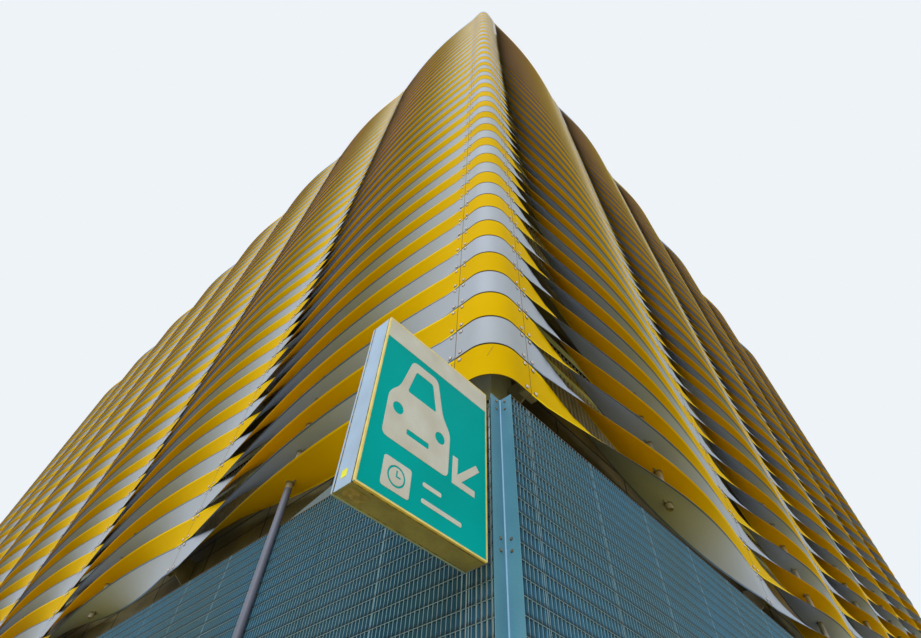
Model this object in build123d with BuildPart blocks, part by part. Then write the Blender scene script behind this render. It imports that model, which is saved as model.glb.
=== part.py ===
"""Multi storey car park wrapped in twisted two-colour metal ribbons.

The block has four rounded corners. Ribbons run level round it, and each one turns half a
turn about its own centre line in every bay, so that its two faces show by turns. Ribbons
are threaded on a tube at mid-bay and bolted to a post at each joint. Screens of steel
grating close the ground floor, and a light-box sign stands out beside one corner.

Frame: origin at ground level under the middle of the block, +X along the front, which
faces -Y, and +Z up. Lengths are millimetres.
"""

import math
import os
from functools import cache

from build123d import *

# Cladding
FRONT_BAYS = 6
SIDE_BAYS = 8
BAY = 4700.0
CORNER_REACH = 460.0
CORNER_BEND = 280.0
ROWS = 58
ROWS_LOWER = 29
ROW_PITCH = 400.0
CLADDING_BASE = 4710.0
RIBBON_WIDTH = 388.0
RIBBON_THICKNESS = 5.0
JOINT_GAP = 10.0
TAB_LENGTH = 150.0
PAD_LENGTH = 110.0
TWIST_SECTIONS = 4

# Steel behind the cladding
TUBE_RADIUS = 38.0
TUBE_WALL = 4.0
TUBE_END_DROP = 80.0
JOINT_POST_WIDTH = 160.0
JOINT_POST_DEPTH = 60.0
JOINT_POST_WALL = 5.0
ARM_THICKNESS = 12.0
ARM_DROP = 100.0
ARM_HEIGHT_AT_POST = 220.0
ARM_HEIGHT_AT_BEAM = 340.0

# Concrete frame
DECKS = 8
FIRST_DECK_TOP = 5050.0
STOREY = 3000.0
DECK_THICKNESS = 250.0
EDGE_BEAM_SETBACK = 250.0
EDGE_BEAM_WIDTH = 250.0
EDGE_BEAM_DROP = 500.0
EDGE_BEAM_UPSTAND = 300.0
CORNER_COLUMN_SETBACK = 300.0
CORNER_COLUMN = 300.0
GROUND_SLAB = 150.0
COLUMN_RADIUS = 200.0
COLUMN_INSET = 1000.0
COLUMN_ROWS = 4
COLUMNS_A_ROW = 5

# Ground-floor screens
SHORT_SCREEN_OUTSET = 40.0
LONG_SCREEN_SETBACK = 40.0
SCREEN_DEPTH = 30.0
SCREEN_TOP = 4430.0
SCREEN_RAIL = 40.0
SCREEN_COLUMNS = 12
SCREEN_ROWS = 4
SCREEN_POST = 80.0
SCREEN_END_MARGIN = 13.5
ANGLE_LEG = 105.0
ANGLE_THICKNESS = 6.0
ANGLE_INSET_X = 110.0
ANGLE_INSET_Y = 60.0

# Sign
SIGN_WIDTH = 970.0
SIGN_HEIGHT = 1300.0
SIGN_DEPTH = 175.0
SIGN_BOTTOM = 3110.0
SIGN_WALL = 3.0
SIGN_FACE = 5.0
SIGN_GAP = 60.0
SIGN_SETBACK = 90.0
SIGN_ARM_HEIGHT = 60.0
SIGN_ARM_WIDTH = 80.0
SIGN_ARM_INSET = 180.0

# Sizes worked out from the values above
HALF_X = FRONT_BAYS * BAY / 2 + CORNER_REACH
HALF_Y = SIDE_BAYS * BAY / 2 + CORNER_REACH
CLADDING_TOP = CLADDING_BASE + ROWS * ROW_PITCH
POST_FRONT = RIBBON_THICKNESS / 2
POST_BACK = POST_FRONT + JOINT_POST_DEPTH
EDGE_X = HALF_X - EDGE_BEAM_SETBACK
EDGE_Y = HALF_Y - EDGE_BEAM_SETBACK
BEAM_END = CORNER_COLUMN_SETBACK + CORNER_COLUMN
SCREEN_X = HALF_X - LONG_SCREEN_SETBACK
SCREEN_Y = HALF_Y + SHORT_SCREEN_OUTSET
SCREEN_BACK = SCREEN_DEPTH + SCREEN_POST
SCREEN_INSET = ANGLE_INSET_Y + ANGLE_THICKNESS
SCREEN_END = SIGN_SETBACK + (SIGN_DEPTH + SIGN_ARM_WIDTH) / 2 + SCREEN_END_MARGIN - SCREEN_INSET
DECK_TOPS = [FIRST_DECK_TOP + STOREY * level for level in range(DECKS)]
TUBE_START = ROW_PITCH / 2 - TUBE_END_DROP

# Each side is built facing -Y with its left end at x = 0, then turned and moved to its place
SIDES = {
    "front": (FRONT_BAYS, Location((-HALF_X + CORNER_REACH, -HALF_Y, 0), (0, 0, 0))),
    "right": (SIDE_BAYS, Location((HALF_X, -HALF_Y + CORNER_REACH, 0), (0, 0, 90))),
    "back": (FRONT_BAYS, Location((HALF_X - CORNER_REACH, HALF_Y, 0), (0, 0, 180))),
    "left": (SIDE_BAYS, Location((-HALF_X, HALF_Y - CORNER_REACH, 0), (0, 0, 270))),
}

# Each corner is built about the point level with its two joints, then turned and moved to its place
CORNER_X = HALF_X - CORNER_REACH
CORNER_Y = HALF_Y - CORNER_REACH
CORNERS = {
    "front_left": Location((-CORNER_X, -CORNER_Y, 0), (0, 0, 0)),
    "front_right": Location((CORNER_X, -CORNER_Y, 0), (0, 0, 90)),
    "back_right": Location((CORNER_X, CORNER_Y, 0), (0, 0, 180)),
    "back_left": Location((-CORNER_X, CORNER_Y, 0), (0, 0, 270)),
}

os.makedirs("parts", exist_ok=True)


def write(node, solids):
    """Label the solids of one node and write them to its file."""
    node_shape = solids[0] if len(solids) == 1 else Compound(children=solids)
    node_shape.label = node
    export_step(node_shape, f"parts/{node}.step", write_pcurves=False)


def placed(part, *locations):
    """Return a copy of the part's one solid at each location."""
    return [part.solids()[0].moved(location) for location in locations]


def across_ribbon(x, angle):
    """Return the plane across a ribbon at x, where the ribbon has turned by the angle."""
    turn = math.radians(angle)
    return Plane(origin=(x, 0, 0), x_dir=(0, -math.sin(turn), -math.cos(turn)), z_dir=(1, 0, 0))


def make_ribbon_unit():
    """Make one bay of one ribbon, about its centre line, with its length of tube."""
    start = JOINT_GAP / 2
    end = BAY - JOINT_GAP / 2
    pad = (BAY - PAD_LENGTH) / 2
    quarter_turns = (
        (start + TAB_LENGTH, pad, 0),
        (pad + PAD_LENGTH, end - TAB_LENGTH, 90),
    )
    flats = ((start, TAB_LENGTH, 0), (pad, PAD_LENGTH, 90), (end - TAB_LENGTH, TAB_LENGTH, 180))
    with BuildPart() as unit:
        for x_from, x_to, first_angle in quarter_turns:
            for step in range(TWIST_SECTIONS + 1):
                share = step / TWIST_SECTIONS
                with BuildSketch(across_ribbon(x_from + (x_to - x_from) * share, first_angle + 90 * share)):
                    Rectangle(RIBBON_WIDTH, RIBBON_THICKNESS)
            loft()
        for x_from, length, angle in flats:
            with BuildSketch(across_ribbon(x_from, angle)):
                Rectangle(RIBBON_WIDTH, RIBBON_THICKNESS)
            extrude(amount=length)
        with BuildSketch(Plane.XY.offset(-ROW_PITCH / 2)):
            with Locations((BAY / 2, 0)):
                Circle(TUBE_RADIUS)
        extrude(amount=ROW_PITCH)
        with BuildSketch(Plane.XY.offset(-ROW_PITCH / 2)):
            with Locations((BAY / 2, 0)):
                Circle(TUBE_RADIUS - TUBE_WALL)
        extrude(amount=ROW_PITCH, mode=Mode.SUBTRACT)
    return unit.part


def make_corner_unit():
    """Make one row of a bent corner sheet, with its two lengths of post.

    Its joints are at x = 0 on the front and at y = 0 on the left. The sheet runs flat from each
    joint to the bend.
    """
    flat = CORNER_REACH - CORNER_BEND
    gap = JOINT_GAP / 2
    outer = CORNER_BEND + RIBBON_THICKNESS / 2
    inner = CORNER_BEND - RIBBON_THICKNESS / 2
    post_centre = CORNER_REACH - (POST_FRONT + POST_BACK) / 2
    with BuildPart() as unit:
        with BuildSketch(Plane.XY.offset(-RIBBON_WIDTH / 2)):
            with BuildLine():
                outer_arc = CenterArc((-flat, -flat), outer, 180, 90)
                inner_arc = CenterArc((-flat, -flat), inner, 180, 90)
                Polyline(outer_arc @ 0, (-flat - outer, -gap), (-flat - inner, -gap), inner_arc @ 0)
                Polyline(outer_arc @ 1, (-gap, -flat - outer), (-gap, -flat - inner), inner_arc @ 1)
            make_face()
        extrude(amount=RIBBON_WIDTH)
        with BuildSketch(Plane.XY.offset(-ROW_PITCH / 2)):
            with Locations((0, -post_centre)):
                Rectangle(JOINT_POST_WIDTH, JOINT_POST_DEPTH)
            with Locations((-post_centre, 0)):
                Rectangle(JOINT_POST_DEPTH, JOINT_POST_WIDTH)
        extrude(amount=ROW_PITCH)
    return unit.part


def make_stack(unit, rows):
    """Join rows copies of a unit one above another, by halves."""

    @cache
    def stack(count):
        if count == 1:
            return unit
        lower = count // 2
        with BuildPart() as joined:
            add(stack(lower))
            with Locations((0, 0, lower * ROW_PITCH)):
                add(stack(count - lower))
        return joined.part

    return stack(rows)


def make_curtain(stack, lowest):
    """Trim the tube below the lowest ribbon of a stack of ribbons."""
    with BuildPart() as curtain:
        add(stack)
        if lowest:
            with BuildSketch(Plane.XY.offset(-ROW_PITCH / 2)):
                with Locations((BAY / 2, 0)):
                    Circle(TUBE_RADIUS)
            extrude(amount=TUBE_START, mode=Mode.SUBTRACT)
    return curtain.part


def make_arm():
    """Make the steel plate from the back of a post to an edge beam, below a deck top at z = 0."""
    at_post = -ARM_DROP - ARM_HEIGHT_AT_POST
    at_beam = -ARM_DROP - ARM_HEIGHT_AT_BEAM
    with BuildPart() as arm:
        with BuildSketch(Plane.YZ):
            with BuildLine():
                Polyline(
                    (POST_BACK, -ARM_DROP),
                    (EDGE_BEAM_SETBACK, -ARM_DROP),
                    (EDGE_BEAM_SETBACK, at_beam),
                    (POST_BACK, at_post),
                    close=True,
                )
            make_face()
        extrude(amount=ARM_THICKNESS / 2, both=True)
    return arm.part


def make_corner(stack, arm):
    """Put a corner's stack at its height and give its two posts their arms."""
    with BuildPart() as corner:
        with Locations((0, 0, CLADDING_BASE + ROW_PITCH / 2)):
            add(stack)
        with Locations(*[Location((0, -CORNER_REACH, deck_top)) for deck_top in DECK_TOPS]):
            add(arm)
        with Locations(*[Location((-CORNER_REACH, 0, deck_top), (0, 0, 270)) for deck_top in DECK_TOPS]):
            add(arm)
    return corner.part


def make_joint_post(arm):
    """Make the hollow post behind one joint, with an arm to every deck."""
    with BuildPart() as post:
        with BuildSketch(Plane.XY.offset(CLADDING_BASE)):
            with Locations((0, (POST_FRONT + POST_BACK) / 2)):
                Rectangle(JOINT_POST_WIDTH, JOINT_POST_DEPTH)
                Rectangle(
                    JOINT_POST_WIDTH - 2 * JOINT_POST_WALL,
                    JOINT_POST_DEPTH - 2 * JOINT_POST_WALL,
                    mode=Mode.SUBTRACT,
                )
        extrude(amount=CLADDING_TOP - CLADDING_BASE)
        with Locations(*[(0, 0, deck_top) for deck_top in DECK_TOPS]):
            add(arm)
    return post.part


def make_screen(length):
    """Make the plates, rails and posts of one side's screen, centred on its length.

    Its face is at y = 0. Level rails run between two end plates, which carry the sign's arms,
    and posts stand behind the rails.
    """
    rail_length = length - 2 * SCREEN_END
    row = (SCREEN_TOP - SCREEN_RAIL) / SCREEN_ROWS
    with BuildPart() as end_plates:
        with BuildSketch():
            with Locations((0, SCREEN_DEPTH / 2)):
                with GridLocations(length - SCREEN_END, 1, 2, 1):
                    Rectangle(SCREEN_END, SCREEN_DEPTH)
        extrude(amount=SCREEN_TOP)
    with BuildPart() as rails:
        with BuildSketch(Plane.XZ):
            with Locations((0, SCREEN_TOP / 2)):
                with GridLocations(1, row, 1, SCREEN_ROWS + 1):
                    Rectangle(rail_length, SCREEN_RAIL)
        extrude(amount=-SCREEN_DEPTH)
    with BuildPart() as posts:
        with BuildSketch():
            with Locations((0, SCREEN_DEPTH + SCREEN_POST / 2)):
                with GridLocations(rail_length / SCREEN_COLUMNS, 1, SCREEN_COLUMNS - 1, 1):
                    Rectangle(SCREEN_POST, SCREEN_POST)
        extrude(amount=SCREEN_TOP)
    return [*end_plates.part.solids(), *rails.part.solids(), *posts.part.solids()]


def make_corner_angle():
    """Make the pressed angle that turns inwards between the front and left screens."""
    x = -HALF_X + ANGLE_INSET_X
    y = -HALF_Y + ANGLE_INSET_Y
    with BuildPart() as angle:
        with BuildSketch():
            with BuildLine():
                Polyline(
                    (x - ANGLE_LEG, y),
                    (x, y),
                    (x, y - ANGLE_LEG),
                    (x + ANGLE_THICKNESS, y - ANGLE_LEG),
                    (x + ANGLE_THICKNESS, y + ANGLE_THICKNESS),
                    (x - ANGLE_LEG, y + ANGLE_THICKNESS),
                    close=True,
                )
            make_face()
        extrude(amount=SCREEN_TOP)
    return angle.part


def column_places():
    """Return the plan place of each inner column, row by row, without the four corners."""
    reach_x = EDGE_X - EDGE_BEAM_WIDTH - COLUMN_INSET
    reach_y = EDGE_Y - EDGE_BEAM_WIDTH - COLUMN_INSET
    return [
        (-reach_x + 2 * reach_x * i / (COLUMN_ROWS - 1), -reach_y + 2 * reach_y * j / (COLUMNS_A_ROW - 1))
        for i in range(COLUMN_ROWS)
        for j in range(COLUMNS_A_ROW)
    ]


def make_deck():
    """Make one deck between its edge beams, with a hole at each column and its top at z = 0."""
    corner = BEAM_END - EDGE_BEAM_SETBACK
    with BuildPart() as deck:
        with BuildSketch(Plane.XY.offset(-DECK_THICKNESS)):
            Rectangle(2 * (EDGE_X - EDGE_BEAM_WIDTH), 2 * (EDGE_Y - EDGE_BEAM_WIDTH))
            with GridLocations(2 * (EDGE_X - corner / 2), 2 * (EDGE_Y - corner / 2), 2, 2):
                Rectangle(corner, corner, mode=Mode.SUBTRACT)
            with Locations(*column_places()):
                Circle(COLUMN_RADIUS, mode=Mode.SUBTRACT)
        extrude(amount=DECK_THICKNESS)
    return deck.part


def make_edge_beam(length):
    """Make the beam along one edge of a deck whose top is at z = 0, with its outer face at y = 0."""
    with BuildPart() as beam:
        with BuildSketch(Plane.XY.offset(-EDGE_BEAM_DROP)):
            with Locations((0, EDGE_BEAM_WIDTH / 2)):
                Rectangle(length, EDGE_BEAM_WIDTH)
        extrude(amount=EDGE_BEAM_DROP + EDGE_BEAM_UPSTAND)
    return beam.part


# Ribbons and corners
ribbon_stack = make_stack(make_ribbon_unit(), ROWS_LOWER)
upper_stack = make_stack(make_ribbon_unit(), ROWS - ROWS_LOWER) if ROWS != 2 * ROWS_LOWER else ribbon_stack
lower_curtain = make_curtain(ribbon_stack, lowest=True)
upper_curtain = make_curtain(upper_stack, lowest=False)
lower_height = CLADDING_BASE + ROW_PITCH / 2
upper_height = lower_height + ROWS_LOWER * ROW_PITCH
for side, (bays, place) in SIDES.items():
    lower_places = [place * Location((BAY * bay, 0, lower_height)) for bay in range(bays)]
    upper_places = [place * Location((BAY * bay, 0, upper_height)) for bay in range(bays)]
    write(f"{side}_ribbons_lower", placed(lower_curtain, *lower_places))
    write(f"{side}_ribbons_upper", placed(upper_curtain, *upper_places))

arm = make_arm()
corner = make_corner(make_stack(make_corner_unit(), ROWS), arm)
for name, place in CORNERS.items():
    write(f"{name}_corner_ribbons", placed(corner, place))

# Posts and the long tube
joint_post = make_joint_post(arm)
for side, (bays, place) in SIDES.items():
    post_places = [place * Location((BAY * bay, 0, 0)) for bay in range(1, bays)]
    write(f"{side}_joint_posts", placed(joint_post, *post_places))

left_bays, left_place = SIDES["left"]
with BuildPart() as ground_pole:
    with BuildSketch():
        Circle(TUBE_RADIUS)
        Circle(TUBE_RADIUS - TUBE_WALL, mode=Mode.SUBTRACT)
    extrude(amount=CLADDING_BASE + TUBE_START)
write("ground_pole", placed(ground_pole.part, left_place * Location((BAY * (left_bays - 0.5), 0, 0))))

# Concrete frame
deck = make_deck()
for level, deck_top in enumerate(DECK_TOPS, start=1):
    write(f"deck_{level}", placed(deck, Location((0, 0, deck_top))))

short_beam = make_edge_beam(2 * (HALF_X - BEAM_END))
long_beam = make_edge_beam(2 * (HALF_Y - BEAM_END))
write("front_edge_beams", placed(short_beam, *[Location((0, -EDGE_Y, z), (0, 0, 0)) for z in DECK_TOPS]))
write("right_edge_beams", placed(long_beam, *[Location((EDGE_X, 0, z), (0, 0, 90)) for z in DECK_TOPS]))
write("back_edge_beams", placed(short_beam, *[Location((0, EDGE_Y, z), (0, 0, 180)) for z in DECK_TOPS]))
write("left_edge_beams", placed(long_beam, *[Location((-EDGE_X, 0, z), (0, 0, 270)) for z in DECK_TOPS]))

with BuildPart() as ground_slab:
    with BuildSketch():
        Rectangle(2 * (SCREEN_X - SCREEN_BACK), 2 * (SCREEN_Y - SCREEN_BACK))
    extrude(amount=GROUND_SLAB)
write("ground_slab", placed(ground_slab.part, Location()))

with BuildPart() as column:
    with BuildSketch(Plane.XY.offset(GROUND_SLAB)):
        Circle(COLUMN_RADIUS)
    extrude(amount=DECK_TOPS[-1] - GROUND_SLAB)
places = column_places()
for row in range(COLUMN_ROWS):
    row_places = places[row * COLUMNS_A_ROW : (row + 1) * COLUMNS_A_ROW]
    write(f"column_row_{row + 1}", placed(column.part, *[Location((x, y, 0)) for x, y in row_places]))

corner_column_x = HALF_X - CORNER_COLUMN_SETBACK - CORNER_COLUMN / 2
corner_column_y = HALF_Y - CORNER_COLUMN_SETBACK - CORNER_COLUMN / 2
with BuildPart() as corner_columns:
    with BuildSketch(Plane.XY.offset(GROUND_SLAB)):
        with GridLocations(2 * corner_column_x, 2 * corner_column_y, 2, 2):
            Rectangle(CORNER_COLUMN, CORNER_COLUMN)
    extrude(amount=DECK_TOPS[-1] + EDGE_BEAM_UPSTAND - GROUND_SLAB)
write("corner_columns", corner_columns.part.solids())

# Ground-floor screens
short_screen = make_screen(2 * (HALF_X - ANGLE_INSET_X - ANGLE_THICKNESS))
long_screen = make_screen(2 * (HALF_Y - SCREEN_INSET))
for side, screen, place in (
    ("front", short_screen, Location((0, -SCREEN_Y, 0), (0, 0, 0))),
    ("right", long_screen, Location((SCREEN_X, 0, 0), (0, 0, 90))),
    ("back", short_screen, Location((0, SCREEN_Y, 0), (0, 0, 180))),
    ("left", long_screen, Location((-SCREEN_X, 0, 0), (0, 0, 270))),
):
    write(f"{side}_screen", [solid.moved(place) for solid in screen])

with BuildPart() as corner_angles:
    add(make_corner_angle())
    mirror(about=Plane.YZ)
    mirror(about=Plane.XZ)
write("corner_angles", corner_angles.part.solids())

# Sign, standing out from the left side beside the front corner
sign_inner = -SCREEN_X - SIGN_GAP
sign_x = sign_inner - SIGN_WIDTH / 2
sign_front = -HALF_Y + SIGN_SETBACK
sign_z = SIGN_BOTTOM + SIGN_HEIGHT / 2
sign_plane = Plane(origin=(sign_x, sign_front, sign_z), x_dir=(-1, 0, 0), z_dir=(0, 1, 0))
with BuildPart() as sign_housing:
    with BuildSketch(sign_plane):
        Rectangle(SIGN_WIDTH, SIGN_HEIGHT)
        Rectangle(SIGN_WIDTH - 2 * SIGN_WALL, SIGN_HEIGHT - 2 * SIGN_WALL, mode=Mode.SUBTRACT)
    extrude(amount=SIGN_DEPTH)
write("sign_housing", placed(sign_housing.part, Location()))

with BuildPart() as sign_front_face:
    with BuildSketch(sign_plane):
        Rectangle(SIGN_WIDTH - 2 * SIGN_WALL, SIGN_HEIGHT - 2 * SIGN_WALL)
    extrude(amount=SIGN_FACE)
write("sign_front_face", placed(sign_front_face.part, Location()))
write("sign_back_face", placed(sign_front_face.part, Location((0, SIGN_DEPTH - SIGN_FACE, 0))))

with BuildPart() as sign_arms:
    with BuildSketch(Plane.YZ.offset(sign_inner)):
        with Locations((sign_front + SIGN_DEPTH / 2, sign_z)):
            with GridLocations(1, SIGN_HEIGHT - 2 * SIGN_ARM_INSET, 1, 2):
                Rectangle(SIGN_ARM_WIDTH, SIGN_ARM_HEIGHT)
    extrude(amount=SIGN_GAP)
write("sign_arms", sign_arms.part.solids())
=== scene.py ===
"""Dresses the multi storey car park: two-colour twisted ribbons, bolts, steel grating, concrete and a sign.

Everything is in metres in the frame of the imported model: the origin is at ground level under the middle of
the block, +X runs along the front, which faces -Y, and +Z is up. Each side is made facing -Y with its left
end at x = 0, then turned and moved to its place, as in the model.
"""

import logging
import math
from dataclasses import dataclass
from enum import Enum
from typing import Any

import bmesh
import bpy
from mathutils import Matrix, Vector

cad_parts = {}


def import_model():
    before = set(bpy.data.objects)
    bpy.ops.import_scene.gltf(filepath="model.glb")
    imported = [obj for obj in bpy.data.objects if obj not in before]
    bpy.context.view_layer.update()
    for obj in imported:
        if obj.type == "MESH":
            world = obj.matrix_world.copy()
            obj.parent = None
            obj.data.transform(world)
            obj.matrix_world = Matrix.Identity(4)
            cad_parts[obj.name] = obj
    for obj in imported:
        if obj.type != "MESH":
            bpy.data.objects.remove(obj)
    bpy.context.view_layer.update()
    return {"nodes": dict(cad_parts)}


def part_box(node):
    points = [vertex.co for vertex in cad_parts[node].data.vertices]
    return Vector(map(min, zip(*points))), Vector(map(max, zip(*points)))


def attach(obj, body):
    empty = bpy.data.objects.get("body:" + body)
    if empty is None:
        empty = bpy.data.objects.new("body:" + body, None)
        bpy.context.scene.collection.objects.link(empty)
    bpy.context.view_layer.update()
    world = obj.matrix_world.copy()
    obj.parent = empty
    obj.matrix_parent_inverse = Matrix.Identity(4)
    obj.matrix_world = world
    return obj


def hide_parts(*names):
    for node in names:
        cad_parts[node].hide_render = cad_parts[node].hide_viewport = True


LOG = logging.getLogger("car_park")
MM = 0.001
MATH = "ShaderNodeMath"
# Edges that turn by more than this stay sharp where a shape is shaded smooth
SHARP_EDGE = math.radians(40)
# The heading from the centre of the front left bend to the middle of its arc
BEND_MIDDLE = math.radians(225)

Triple = tuple[float, float, float]
Outline = list[tuple[float, float]]


class Turned(Enum):
    """Like parts round the block, by the turn in degrees that brings each one round from the first."""

    @property
    def label(self) -> str:
        """The part's name in node and piece names."""
        return self.name.lower()

    @property
    def turn(self) -> Matrix:
        """The part's turn about the block's middle."""
        return Matrix.Rotation(math.radians(self.value), 4, "Z")


class Side(Turned):
    """The four sides of the block."""

    FRONT = 0
    RIGHT = 90
    BACK = 180
    LEFT = 270


class Corner(Turned):
    """The four corners of the block."""

    FRONT_LEFT = 0
    FRONT_RIGHT = 90
    BACK_RIGHT = 180
    BACK_LEFT = 270


@dataclass(frozen=True)
class Block:
    """The sizes of the block that its pieces share.

    Attributes:
        front_bays: The bays of the front and the back.
        side_bays: The bays of the left and right sides.
        bay: The distance between joints.
        reach: How far the middle of a side's ribbons stands out past the last joint of the side beside it.
        bend: The radius of a corner sheet's bend, at its middle.
        rows: The rows of ribbons.
        pitch: The height of a row.
        base: The height where the first row starts.
        decks: The decks over the ground.
        first_deck: The height of the lowest one.
        storey: The height from deck to deck.
        sheet_width: The width of a ribbon or a corner sheet.
        sheet_thickness: Its thickness.
    """

    front_bays: int = 6
    side_bays: int = 8
    bay: float = 4.7
    reach: float = 0.46
    bend: float = 0.28
    rows: int = 58
    pitch: float = 0.4
    base: float = 4.71
    decks: int = 8
    first_deck: float = 5.05
    storey: float = 3.0
    sheet_width: float = 388 * MM
    sheet_thickness: float = 5 * MM

    @property
    def half_x(self) -> float:
        """Half the width over the middle of the ribbons."""
        return self.front_bays * self.bay / 2 + self.reach

    @property
    def half_y(self) -> float:
        """Half the length over the middle of the ribbons."""
        return self.side_bays * self.bay / 2 + self.reach

    @property
    def flat(self) -> float:
        """The length of a corner sheet's flat ends, along its middle."""
        return self.reach - self.bend

    @property
    def corner_length(self) -> float:
        """The length of a corner sheet from joint to joint, along its middle."""
        return 2 * self.flat + self.bend * math.pi / 2

    def bays(self, side: Side) -> int:
        """The number of bays on a side."""
        return self.front_bays if side in (Side.FRONT, Side.BACK) else self.side_bays

    def place(self, side: Side) -> Matrix:
        """Where a side's own frame, with x = 0 at its left joint, stands."""
        out = self.half_y if side in (Side.FRONT, Side.BACK) else self.half_x
        return side.turn @ Matrix.Translation((-self.bays(side) * self.bay / 2, -out, 0))

    def corner_place(self, corner: Corner) -> Matrix:
        """Where a corner's own frame, whose origin is level with both its joints, stands.

        Args:
            corner: The corner.

        Returns:
            The transform from the corner's frame to the block's.
        """
        x, y = self.half_x - self.reach, self.half_y - self.reach
        if corner in (Corner.FRONT_RIGHT, Corner.BACK_LEFT):
            x, y = y, x
        return corner.turn @ Matrix.Translation((-x, -y, 0))


def linear(colour: str) -> tuple[float, float, float, float]:
    """Turn an sRGB hex colour to linear.

    Args:
        colour: The colour as "#rrggbb".

    Returns:
        Linear red, green, blue and full opacity.
    """
    channels = [int(colour[i : i + 2], 16) / 255 for i in (1, 3, 5)]
    red, green, blue = (c / 12.92 if c <= 0.04045 else ((c + 0.055) / 1.055) ** 2.4 for c in channels)
    return red, green, blue, 1.0


def add_node(
    tree: bpy.types.NodeTree, kind: str, inputs: dict | None = None, **settings: Any
) -> bpy.types.Node:
    """Add a node with its settings, and set or link its inputs.

    Args:
        tree: The tree to add to.
        kind: The node's type.
        inputs: Input name or number to a value, to the output socket that feeds it, or to a list of them.
        settings: Properties of the node.

    Returns:
        The node.
    """
    node = tree.nodes.new(kind)
    for name, value in settings.items():
        setattr(node, name, value)
    for key, value in (inputs or {}).items():
        if isinstance(value, (bpy.types.NodeSocket, list)):
            for source in value if isinstance(value, list) else [value]:
                tree.links.new(source, node.inputs[key])
        else:
            node.inputs[key].default_value = value
    return node


def new_object(name: str, data: bpy.types.ID) -> bpy.types.Object:
    """Make an object and put it in the scene.

    Args:
        name: The object's name.
        data: Its mesh, curve, lamp or camera.

    Returns:
        The object.
    """
    piece = bpy.data.objects.new(name, data)
    bpy.context.scene.collection.objects.link(piece)
    return piece


def baked(carrier: bpy.types.Object) -> bpy.types.Mesh:
    """Keep what an object's modifiers or curve make as a plain mesh, and remove the object.

    Args:
        carrier: The object.

    Returns:
        The mesh.
    """
    depsgraph = bpy.context.evaluated_depsgraph_get()
    mesh = bpy.data.meshes.new_from_object(carrier.evaluated_get(depsgraph))
    bpy.data.objects.remove(carrier)
    return mesh


def settled(piece: bpy.types.Object, place: Matrix, slot: str, *nodes: str) -> None:
    """Put a finished piece in its place and let it ride on the block.

    Args:
        piece: The piece.
        place: The transform that its mesh takes.
        slot: The record's slot for its finish; not used.
        nodes: The frame's nodes that it stands for, if any.
    """
    piece.data.transform(place)
    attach(piece, "root")
    if nodes:
        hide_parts(*nodes)
    triangles = sum(len(face.vertices) - 2 for face in piece.data.polygons)
    LOG.info("%s: %d triangles", piece.name, triangles)


class Nodes:
    """A node tree under construction."""

    def __init__(self, tree: bpy.types.NodeTree) -> None:
        """Keep the tree."""
        self.tree = tree

    def add(self, kind: str, inputs: dict | None = None, out: int | str = 0, **settings: Any) -> Any:
        """Add a node and return one of its outputs."""
        return add_node(self.tree, kind, inputs, **settings).outputs[out]


class Surface(Nodes):
    """A procedural material under construction: a Principled shader and its patterns."""

    def __init__(self, name: str, roughness: float, metallic: float, specular: float) -> None:
        """Start the material.

        Args:
            name: The finish's name.
            roughness: The shader's roughness.
            metallic: The shader's metallic value.
            specular: The shader's specular level.
        """
        self.material = bpy.data.materials.new(name)
        self.material.use_nodes = True
        super().__init__(self.material.node_tree)
        self.shader = self.tree.nodes["Principled BSDF"]
        levels = {"Roughness": roughness, "Metallic": metallic, "Specular IOR Level": specular}
        for level, value in levels.items():
            self.shader.inputs[level].default_value = value
        self.object = self.add("ShaderNodeTexCoord", out="Object")

    def noise(self, size: float, detail: float, stretch: Triple = (1.0, 1.0, 1.0)) -> Any:
        """Add noise on the object's own coordinates.

        Args:
            size: The width of its patches in metres.
            detail: How many finer layers it has.
            stretch: How much longer the patches are along each axis.

        Returns:
            The noise's value socket.
        """
        scale = tuple(1 / s for s in stretch)
        at = self.add("ShaderNodeMapping", {"Vector": self.object, "Scale": scale})
        return self.add("ShaderNodeTexNoise", {"Vector": at, "Scale": 1 / size, "Detail": detail})

    def layered(
        self, under: Any, over: str, value: Any, clear: float, full: float, share: float = 1.0
    ) -> Any:
        """Lay a colour over another where a value runs from one level to another.

        Args:
            under: The linear colour underneath, or its socket.
            over: The colour on top, as "#rrggbb".
            value: The value's socket.
            clear: The level where none of the top colour shows.
            full: The level where its whole share shows.
            share: How much of it shows there.

        Returns:
            The socket of the two together.
        """
        ramp = {"Value": value, "From Min": clear, "From Max": full, "To Min": 0.0, "To Max": share}
        amount = self.add("ShaderNodeMapRange", ramp)
        return self.add("ShaderNodeMix", {0: amount, 6: under, 7: linear(over)}, 2, data_type="RGBA")

    def dressed(
        self, colour: Any, wear: Any, low: float, high: float, relief: Any, depth: float
    ) -> bpy.types.Material:
        """Give the shader its colour, its roughness and its relief.

        Args:
            colour: The colour's socket.
            wear: The noise that the roughness follows.
            low: The roughness where that noise is low.
            high: The roughness where it is high.
            relief: The noise that raises the surface.
            depth: The depth of that relief in metres.

        Returns:
            The finished material.
        """
        ramp = {"Value": wear, "From Min": 0.3, "From Max": 0.7, "To Min": low, "To Max": high}
        bump = {"Height": relief, "Distance": depth, "Strength": 1.0}
        for name, socket in (
            ("Base Color", colour),
            ("Roughness", self.add("ShaderNodeMapRange", ramp)),
            ("Normal", self.add("ShaderNodeBump", bump)),
        ):
            self.tree.links.new(socket, self.shader.inputs[name])
        return self.material


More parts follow.
